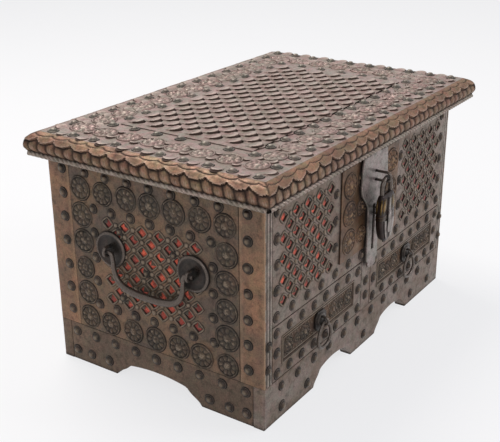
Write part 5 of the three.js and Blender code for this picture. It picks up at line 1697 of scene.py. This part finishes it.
def hasp_outline():
    """The hasp seen from the front: broad top and belly, narrow tongue, small tip."""
    middle_top = (HASP_TOP + HASP_BELLY) / 2
    middle_neck = (HASP_BELLY + HASP_NECK) / 2
    right = [(HASP_TOP_HALF, HASP_TOP)]
    right += quadratic(right[-1], (HASP_BELLY_HALF, middle_top), (HASP_BELLY_HALF, HASP_BELLY), 10)
    right += bezier(right[-1], (HASP_BELLY_HALF, middle_neck), (HASP_TONGUE_HALF, middle_neck),
                    (HASP_TONGUE_HALF, HASP_NECK), 16)
    right += [(HASP_TONGUE_HALF, HASP_SHOULDER + HASP_ROUND)]
    right += quadratic(right[-1], (HASP_TONGUE_HALF, HASP_SHOULDER), (HASP_TIP_HALF, HASP_SHOULDER), 6)
    right += [(HASP_TIP_HALF, HASP_TIP + HASP_ROUND)]
    right += quadratic(right[-1], (HASP_TIP_HALF, HASP_TIP), (0, HASP_TIP), 8)
    return right + [(-u, v) for u, v in reversed(right[:-1])]


def knuckle_mesh(matrix):
    """The hasp's rolled knuckle round its pin, hollow and open at both ends."""
    end = [(KNUCKLE_BORE, KNUCKLE_HALF), (KNUCKLE_RADIUS - KNUCKLE_SOFT, KNUCKLE_HALF),
           (KNUCKLE_RADIUS, KNUCKLE_HALF - KNUCKLE_SOFT)]
    section = [(radius, -u) for radius, u in end] + [(KNUCKLE_RADIUS, 0.0)] + end[::-1]
    rings = []
    for radius, u in section + section[:1]:
        ring = []
        for i in range(KNUCKLE_SIDES):
            angle = TURN * i / KNUCKLE_SIDES
            v = HASP_AXIS_V + radius * math.cos(angle)
            ring.append((u, v, (HASP_BACK + HASP_FRONT) / 2 + radius * math.sin(angle), 0.9))
        rings.append(ring)
    knuckle = Relief(180)
    knuckle.add_rings(rings)
    return knuckle.mesh("knuckle", matrix)


class STRONGBOX_OT_hasp(bpy.types.Operator):
    """Makes the hasp with its knuckle and eye, and the keeper staple it closes over."""

    bl_idname = "strongbox.hasp"
    bl_label = "Hasp and keeper"

    def execute(self, context):
        matrix = FACES["front"]
        slot = rectangle(-SLOT_HALF, SLOT_LOW, SLOT_HALF, SLOT_HIGH)
        plate = plate_mesh("hasp", [hasp_outline(), slot], HASP_BACK, HASP_FRONT, matrix, rounding=0.6)
        neck = plate_mesh("neck", [rectangle(-KNUCKLE_HALF, HASP_TOP - 1, KNUCKLE_HALF, HASP_AXIS_V - 1.5)],
                          HASP_BACK, HASP_FRONT, matrix)
        mesh = joined_mesh("hasp_leaf_mesh", [plate, neck, knuckle_mesh(matrix)])
        piece("hasp_tongue", mesh, "hasp", "hasp", ["hasp_plate"])
        eye = Relief(181)
        eye.add_bar(eye_path(0, LOCK_EYE_V, HASP_FRONT + GAP, 12.75, 5.0), [1.5] * EYE_POINTS, (1, 0, 0))
        piece("hasp_lock_eye", eye.mesh("eye", matrix), "handle", "hasp", ["hasp_eye"])
        outline = rectangle(-KEEPER_FOOT_HALF_U, KEEPER_V - KEEPER_FOOT_HALF_V, KEEPER_FOOT_HALF_U,
                            KEEPER_V + KEEPER_FOOT_HALF_V)
        foot = plate_mesh("foot", [outline], KEEPER_FOOT_BACK, KEEPER_FOOT_FRONT, matrix)
        loop = Relief(182)
        middle = (KEEPER_FOOT_BACK + KEEPER_FOOT_FRONT) / 2
        loop.add_bar(eye_path(0, KEEPER_V, middle, 6.0, 3.75), [1.25] * EYE_POINTS, (1, 0, 0))
        mesh = joined_mesh("keeper", [foot, loop.mesh("loop", matrix)])
        piece("keeper_loop", mesh, "handle", "body", ["keeper_staple"])
        return {"FINISHED"}


# Padlock: places from the middle of the front, up from the floor and out of the sheet, in millimetres

LOCK_OUT = 19.75
LOCK_TOP = 194.5
LOCK_HEIGHT = 56.0
LOCK_HALF = 16.5
LOCK_THICK = 10.5
LOCK_LEVELS = 44
LOCK_SIDES = 44
# Shares of the case's height from its top: the waist, two raised bands, the brass lobes, the front plate
WAIST_SHARE = 0.34
BAND_SHARES = (0.44, 0.49)
BAND_WIDTH_SHARE = 0.02
LOBE_TOP_SHARE = 0.05
LOBE_HEIGHT_SHARE = 0.35
PLATE_TOP_SHARE = 0.53
PLATE_HEIGHT_SHARE = 0.42
LOBE_COUNT = 8
LOBE_SIDES = 80
LOBE_LEVELS = 16
# The front plate is in two strips, each from and to a share of a turn round the case
PLATE_TURN_SHARES = ((0.03, 0.235), (0.262, 0.3))
PLATE_COLUMNS = 14
PLATE_LEVELS = 24
PLATE_SINK = -0.6
KEEL_OUTLINE = ((-1.6, 150.0), (1.6, 150.0), (2.0, 178.0), (1.2, 190.0), (-1.2, 190.0), (-2.0, 178.0))
KEEL_BACK = LOCK_OUT + LOCK_THICK / 2 - 1.4
KEEL_THICK = 2.4
# The shackle, and the cover that hangs from its rivet
SHACKLE_HALF = 10.0
SHACKLE_RADIUS = 2.4
SHACKLE_BEND_V = 202.0
SHACKLE_SHORT_V = 180.0
SHACKLE_LONG_V = 176.0
SHACKLE_STEPS = 24
COVER_PIN_V = 172.5
COVER_LOW_V = 153.8
COVER_WAIST_V = 162.75
COVER_TOP_HALF = 3.25
COVER_LOW_HALF = 4.55
COVER_LOW_REACH = 4.4
COVER_BACK = 25.25
COVER_FRONT = 26.25
COVER_STEPS = 12
# The cover's rivet: radius share, height and how light it is painted
RIVET_SHARES = ((1.0, 0.0, 0.6), (0.95, 0.15, 1.0), (0.5, 0.25, 1.0), (0, 0.25, 1.0))
RIVET_RADIUS = 1.6


def lock_section(down):
    """Half width and half thickness of the padlock at a share of its height from the top."""
    if down < WAIST_SHARE:
        half = LOCK_HALF * (0.78 + 0.22 * eased(math.sin(math.pi / 2 * down / WAIST_SHARE), 0.8))
    else:
        fall = (down - WAIST_SHARE) / (1 - WAIST_SHARE)
        half = LOCK_HALF * eased(1 - fall ** 2.4, 0.5)
    thick = LOCK_THICK / 2 * min(1.0, 0.62 + 1.3 * math.sqrt(max(0.0, down * (1 - down))))
    return half, thick


def lock_ring(down, angles, swell, lightness):
    """Points round the padlock at one height; swell stands out of its case."""
    half, thick = lock_section(down)
    ring = []
    for angle in angles:
        c, s = math.cos(angle), math.sin(angle)
        u = (half + swell) * math.copysign(abs(c) ** 0.45, c)
        w = (thick + swell - 0.75) * math.copysign(abs(s) ** 0.45, s)
        ring.append((u, LOCK_TOP - LOCK_HEIGHT * down, LOCK_OUT + w, lightness))
    return ring


def cover_outline():
    """The keyhole cover seen from the front: a drop that hangs from its rivet."""
    top = [(math.cos(math.pi * i / COVER_STEPS), math.sin(math.pi * i / COVER_STEPS))
           for i in range(COVER_STEPS + 1)]
    outline = [(COVER_TOP_HALF * c, COVER_PIN_V + COVER_TOP_HALF * s) for c, s in top]
    outline += quadratic(outline[-1], (-COVER_TOP_HALF, COVER_WAIST_V), (-COVER_LOW_HALF, COVER_LOW_V), 5)
    outline += [(-COVER_LOW_HALF * c, COVER_LOW_V - COVER_LOW_REACH * s) for c, s in top[1:-1]]
    outline += quadratic((COVER_LOW_HALF, COVER_LOW_V), (COVER_TOP_HALF, COVER_WAIST_V),
                         (COVER_TOP_HALF, COVER_PIN_V), 5)[:-1]
    return outline


class STRONGBOX_OT_padlock(bpy.types.Operator):
    """Makes the padlock's case, lobes and front plate, the shackle and the cover over its keyhole."""

    bl_idname = "strongbox.padlock"
    bl_label = "Padlock"

    def execute(self, context):
        matrix = FACES["front"]
        self.case(matrix)
        self.lobes(matrix)
        self.front_plate(matrix)
        self.shackle(matrix)
        self.cover(matrix)
        return {"FINISHED"}

    def case(self, matrix):
        """The cast case with its two raised bands."""
        case = Relief(190)
        turns = [TURN * k / LOCK_SIDES for k in range(LOCK_SIDES)]
        rings = []
        for i in range(LOCK_LEVELS + 1):
            down = i / LOCK_LEVELS
            band = sum(math.exp(-((down - place) / BAND_WIDTH_SHARE) ** 2) for place in BAND_SHARES)
            rings.append(lock_ring(down, turns, 0.5 * band, 0.4 + 0.5 * min(1, band))[::-1])
        numbers = case.add_rings(rings)
        case.join_rings(numbers[-1], case.add_ring([(0, LOCK_TOP - LOCK_HEIGHT, LOCK_OUT, 0.6)]))
        case.join_rings(numbers[0][::-1], case.add_ring([(0, LOCK_TOP, LOCK_OUT, 0.6)]))
        piece("padlock_case", case.mesh("case", matrix), "bronze", "lock", ["padlock_body"])

    def lobes(self, matrix):
        """Brass lobes round the padlock's shoulders."""
        brass = Relief(193)
        rings = []
        for i in range(LOBE_LEVELS + 1):
            down = LOBE_TOP_SHARE + LOBE_HEIGHT_SHARE * i / LOBE_LEVELS
            fade = eased(math.sin(math.pi * i / LOBE_LEVELS), 0.5)
            ring = []
            for k in range(LOBE_SIDES):
                turn = TURN * k / LOBE_SIDES
                lobe = eased(abs(math.sin(LOBE_COUNT / 2 * turn)), 0.6) * fade
                ring += lock_ring(down, [turn], -0.5 + 1.15 * lobe, lobe)
            rings.append(ring[::-1])
        brass.add_rings(rings)
        piece("padlock_lobes", brass.mesh("lobes", matrix), "brass", "lock")

    def front_plate(self, matrix):
        """The steel plate over the front in two strips, with the keel down its middle."""
        shield = Relief(194)
        for first, last in PLATE_TURN_SHARES:
            turns = [TURN * (first + (last - first) * k / PLATE_COLUMNS) for k in range(PLATE_COLUMNS + 1)]
            rings = []
            for i in range(PLATE_LEVELS + 1):
                down = PLATE_TOP_SHARE + PLATE_HEIGHT_SHARE * i / PLATE_LEVELS
                swell = 0.9 if 0 < i < PLATE_LEVELS else PLATE_SINK
                left, right = lock_ring(down, (turns[0], turns[-1]), PLATE_SINK, 0.0)
                rings.append([left, *lock_ring(down, turns, swell, 0.75), right])
            shield.add_rings(rings, closed=False)
        keel = plate_mesh("keel", [KEEL_OUTLINE], KEEL_BACK, KEEL_BACK + KEEL_THICK, matrix, rounding=0.5)
        mesh = joined_mesh("plate", [shield.mesh("shield", matrix), keel])
        piece("padlock_front_plate", mesh, "hasp", "lock")

    def shackle(self, matrix):
        """The bent bow through the hasp's eye."""
        path = [(-SHACKLE_HALF, SHACKLE_SHORT_V, LOCK_OUT)]
        for i in range(SHACKLE_STEPS + 1):
            angle = math.pi * (1 - i / SHACKLE_STEPS)
            u = SHACKLE_HALF * math.cos(angle)
            path.append((u, SHACKLE_BEND_V + SHACKLE_HALF * math.sin(angle), LOCK_OUT))
        path.append((SHACKLE_HALF, SHACKLE_LONG_V, LOCK_OUT))
        bow = Relief(191)
        bow.add_bar(path, [SHACKLE_RADIUS] * len(path), (0, 0, 1), sides=16)
        piece("padlock_bow", bow.mesh("bow", matrix), "handle", "shackle", ["padlock_shackle"])

    def cover(self, matrix):
        """The drop that swings over the keyhole, on its rivet."""
        plate = plate_mesh("cover", [cover_outline()], COVER_BACK, COVER_FRONT, matrix, rounding=0.3)
        rivet = Relief(192)
        rivet.add_round(0, COVER_PIN_V, RIVET_RADIUS, RIVET_SHARES, 16, base=COVER_FRONT)
        mesh = joined_mesh("cover_mesh", [plate, rivet.mesh("pin", matrix)])
        piece("keyhole_drop", mesh, "hasp", "cover", ["keyhole_cover"])


# Wood and the fittings that keep the frame's own shape, in millimetres

WOOD_ROUNDING = 0.8
HINGE_ROUNDING = 0.3
HINGE_LEAF_OUT = 2.25
HINGE_NAIL_PITCH_U = 24.0
BACK_LEAF_NAIL_V = 24.0
BACK_LEAF_NAIL_PITCH = 16.0
BACK_LEAF_NAIL_SCALE = 0.62
LID_LEAF_NAIL_V = 13.5
LID_LEAF_NAIL_PITCH = 13.0
LID_LEAF_NAIL_SCALE = 0.5


class STRONGBOX_OT_carcass(bpy.types.Operator):
    """Gives the boards, drawer boxes and hinges their finish and softened edges, and nails the hinges."""

    bl_idname = "strongbox.carcass"
    bl_label = "Boards and hinges"

    def execute(self, context):
        for name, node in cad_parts.items():
            if "board" in name or "drawer_box" in name or name in ("compartment_floor", "drawer_divider"):
                look, rounding = "wood", WOOD_ROUNDING
            elif "hinge" in name or name in ("hasp_leaf", "hasp_pin"):
                look, rounding = "hinge", HINGE_ROUNDING
            else:
                continue
            node.data.materials.clear()
            node.data.materials.append(finish(look))
            soften = node.modifiers.new("Softened edges", "BEVEL")
            soften.width = rounding * MM
            soften.segments = 2
            soften.limit_method = "ANGLE"
            soften.angle_limit = SHARP
        low, high = span("left_hinge_back_leaf")
        middle = (low.x + high.x) / 2
        columns = [sign * middle + u for sign in (-1, 1) for u in spaced(2, HINGE_NAIL_PITCH_U)]
        places = [(u, low.z + BACK_LEAF_NAIL_V + v, HINGE_LEAF_OUT, BACK_LEAF_NAIL_SCALE)
                  for u in columns for v in spaced(3, BACK_LEAF_NAIL_PITCH)]
        nail_piece("hinge_back_nails", 190, places, FACES["back"])
        # The leaf under the lid is seen from below, where up on the page is towards the front
        under = side((0, 0, span("lid_board")[0].z + GAP), (1, 0, 0), (0, -1, 0))
        foot = -span("left_hinge_lid_leaf")[0].y
        places = [(u, foot - LID_LEAF_NAIL_V + v, 0.0, LID_LEAF_NAIL_SCALE)
                  for u in columns for v in spaced(2, LID_LEAF_NAIL_PITCH)]
        nail_piece("hinge_lid_nails", 191, places, under, "lid")
        return {"FINISHED"}


# Stage, in metres

FLOOR_REACH = 40.0
CAMERA_PLACE = (-0.87234, -0.56350, 0.55944)
CAMERA_YAW = math.radians(55.73)
CAMERA_PITCH = math.radians(22.6)
CAMERA_ROLL = math.radians(-0.35)
# The camera's focal length, in millimetres
CAMERA_LENS = 67.716
# Soft square lamps: name, place, size, power in watts and colour
LAMPS = (
    ("key_softbox", (0.2, 0.9, 2.1), 1.1, 38, 0xFFF8F0),
    ("front_fill", (-2.0, -1.2, 1.5), 1.2, 11, 0xF4F7FF),
    ("right_fill", (1.2, -2.0, 1.3), 1.0, 17, 0xF4F7FF),
)
LAMP_AIM = (0, 0, 0.1)
FIBRES_PER_MM = 0.9
# How much of the paper shows its own colour, and how much shows light and shadow
PLAIN_PAPER_SHARE = 0.78
ROOM_LIGHT = 0.5


def add_camera():
    """The camera where the photograph was taken from."""
    data = bpy.data.cameras.new("photo_camera")
    data.lens = CAMERA_LENS
    data.clip_end = FLOOR_REACH
    camera = bpy.data.objects.new("photo_camera", data)
    bpy.context.scene.collection.objects.link(camera)
    level = Vector((math.cos(CAMERA_YAW), -math.sin(CAMERA_YAW), 0))
    ahead = Vector((math.sin(CAMERA_YAW), math.cos(CAMERA_YAW), 0))
    look = math.cos(CAMERA_PITCH) * ahead - Vector((0, 0, math.sin(CAMERA_PITCH)))
    above = level.cross(look)
    right = math.cos(CAMERA_ROLL) * level + math.sin(CAMERA_ROLL) * above
    up = -math.sin(CAMERA_ROLL) * level + math.cos(CAMERA_ROLL) * above
    turn = Matrix((right, up, -look)).transposed().to_4x4()
    camera.matrix_world = Matrix.Translation(CAMERA_PLACE) @ turn
    bpy.context.scene.camera = camera


def add_lamp(name, place, size, power, colour):
    """A soft square lamp that faces the box."""
    data = bpy.data.lights.new(name, "AREA")
    data.shape = "SQUARE"
    data.size = size
    data.energy = power
    data.color = linear(colour)
    lamp = bpy.data.objects.new(name, data)
    lamp.location = place
    lamp.rotation_euler = (Vector(LAMP_AIM) - Vector(place)).to_track_quat("-Z", "Y").to_euler()
    bpy.context.scene.collection.objects.link(lamp)


def background_rays(tree):
    """1 for a ray that shows the background: from the camera, off a reflection or through a clear piece."""
    path = put(tree, "LightPath")
    shown = path.outputs["Is Camera Ray"]
    for ray in ("Is Glossy Ray", "Is Transmission Ray"):
        both = put(tree, "Math", {0: shown, 1: path.outputs[ray]}, operation="ADD", use_clamp=True)
        shown = both.outputs[0]
    return shown


class STRONGBOX_OT_stage(bpy.types.Operator):
    """Makes the pale floor, the soft studio light and the camera."""

    bl_idname = "strongbox.stage"
    bl_label = "Floor, light and camera"

    def execute(self, context):
        floor_mesh = bpy.data.meshes.new("floor")
        corners = [(x, y, 0) for x, y in rectangle(-FLOOR_REACH, -FLOOR_REACH, FLOOR_REACH, FLOOR_REACH)]
        floor_mesh.from_pydata(corners, [], [(0, 1, 2, 3)])
        floor_mesh.materials.append(self.paper())
        floor = bpy.data.objects.new("floor", floor_mesh)
        context.scene.collection.objects.link(floor)
        self.sky(context.scene)
        for lamp in LAMPS:
            add_lamp(*lamp)
        add_camera()
        context.scene.view_settings.view_transform = "Standard"
        return {"FINISHED"}

    def paper(self):
        """Matt white background paper: pale and even, with only a soft shadow under the box."""
        material = bpy.data.materials.new("matt_background_paper")
        material.use_nodes = True
        tree = material.node_tree
        tree.nodes.clear()
        coordinates = put(tree, "TexCoord")
        fibre = put(tree, "TexNoise", {"Vector": coordinates.outputs["Object"], "Scale": FIBRES_PER_MM / MM,
                                       "Detail": 2})
        tone = put(tree, "Mix", {0: fibre.outputs["Fac"], 6: paint(0xF5F5F7), 7: paint(0xF9F9FA)},
                   data_type="RGBA")
        matt = put(tree, "BsdfDiffuse", {"Color": tone.outputs[2]})
        glow = put(tree, "Emission", {"Color": tone.outputs[2], "Strength": 1.0})
        plain = put(tree, "Math", {0: background_rays(tree), 1: PLAIN_PAPER_SHARE}, operation="MULTIPLY")
        both = put(tree, "MixShader", {0: plain.outputs[0], 1: matt.outputs[0], 2: glow.outputs[0]})
        put(tree, "OutputMaterial", {"Surface": both.outputs[0]})
        return material

    def sky(self, scene):
        """A plain pale room round the box."""
        world = bpy.data.worlds.new("pale_room")
        scene.world = world
        world.use_nodes = True
        tree = world.node_tree
        tree.nodes.clear()
        room = put(tree, "Background", {"Color": paint(0xEEF0F4), "Strength": ROOM_LIGHT})
        # As bright as the paper far from the lamps, so that no horizon shows from low down
        shown = put(tree, "Background", {"Color": paint(0xEAEAEC), "Strength": 1.0})
        both = put(tree, "MixShader", {0: background_rays(tree), 1: room.outputs[0], 2: shown.outputs[0]})
        put(tree, "OutputWorld", {"Surface": both.outputs[0]})


class STRONGBOX_PT_panel(bpy.types.Panel):
    """Lists the strongbox's steps and values in the sidebar."""

    bl_label = "Iron strongbox"
    bl_idname = "STRONGBOX_PT_panel"
    bl_space_type = "VIEW_3D"
    bl_region_type = "UI"
    bl_category = "Strongbox"

    def draw(self, context):
        column = self.layout.column()
        for group in (context.scene.strongbox_sizes, context.scene.strongbox_colours):
            for name in group.__annotations__:
                column.prop(group, name)
        for operator in OPERATORS:
            column.operator(operator.bl_idname)


OPERATORS = (
    STRONGBOX_OT_stage,
    STRONGBOX_OT_carcass,
    STRONGBOX_OT_ends,
    STRONGBOX_OT_front,
    STRONGBOX_OT_back,
    STRONGBOX_OT_corners,
    STRONGBOX_OT_plinth,
    STRONGBOX_OT_drawers,
    STRONGBOX_OT_lid,
    STRONGBOX_OT_handles,
    STRONGBOX_OT_hasp,
    STRONGBOX_OT_padlock,
)
CLASSES = (StrongboxSizes, StrongboxColours, *OPERATORS, STRONGBOX_PT_panel)


def register():
    """Adds the classes and the scene's values."""
    for item in CLASSES:
        bpy.utils.register_class(item)
    bpy.types.Scene.strongbox_sizes = bpy.props.PointerProperty(type=StrongboxSizes)
    bpy.types.Scene.strongbox_colours = bpy.props.PointerProperty(type=StrongboxColours)


def unregister():
    """Takes the classes and the scene's values away again."""
    del bpy.types.Scene.strongbox_colours
    del bpy.types.Scene.strongbox_sizes
    for item in reversed(CLASSES):
        bpy.utils.unregister_class(item)


def main():
    """Registers the add-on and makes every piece."""
    register()
    for operator in OPERATORS:
        group, name = operator.bl_idname.split(".")
        getattr(getattr(bpy.ops, group), name)()


if __name__ == "__main__":
    main()
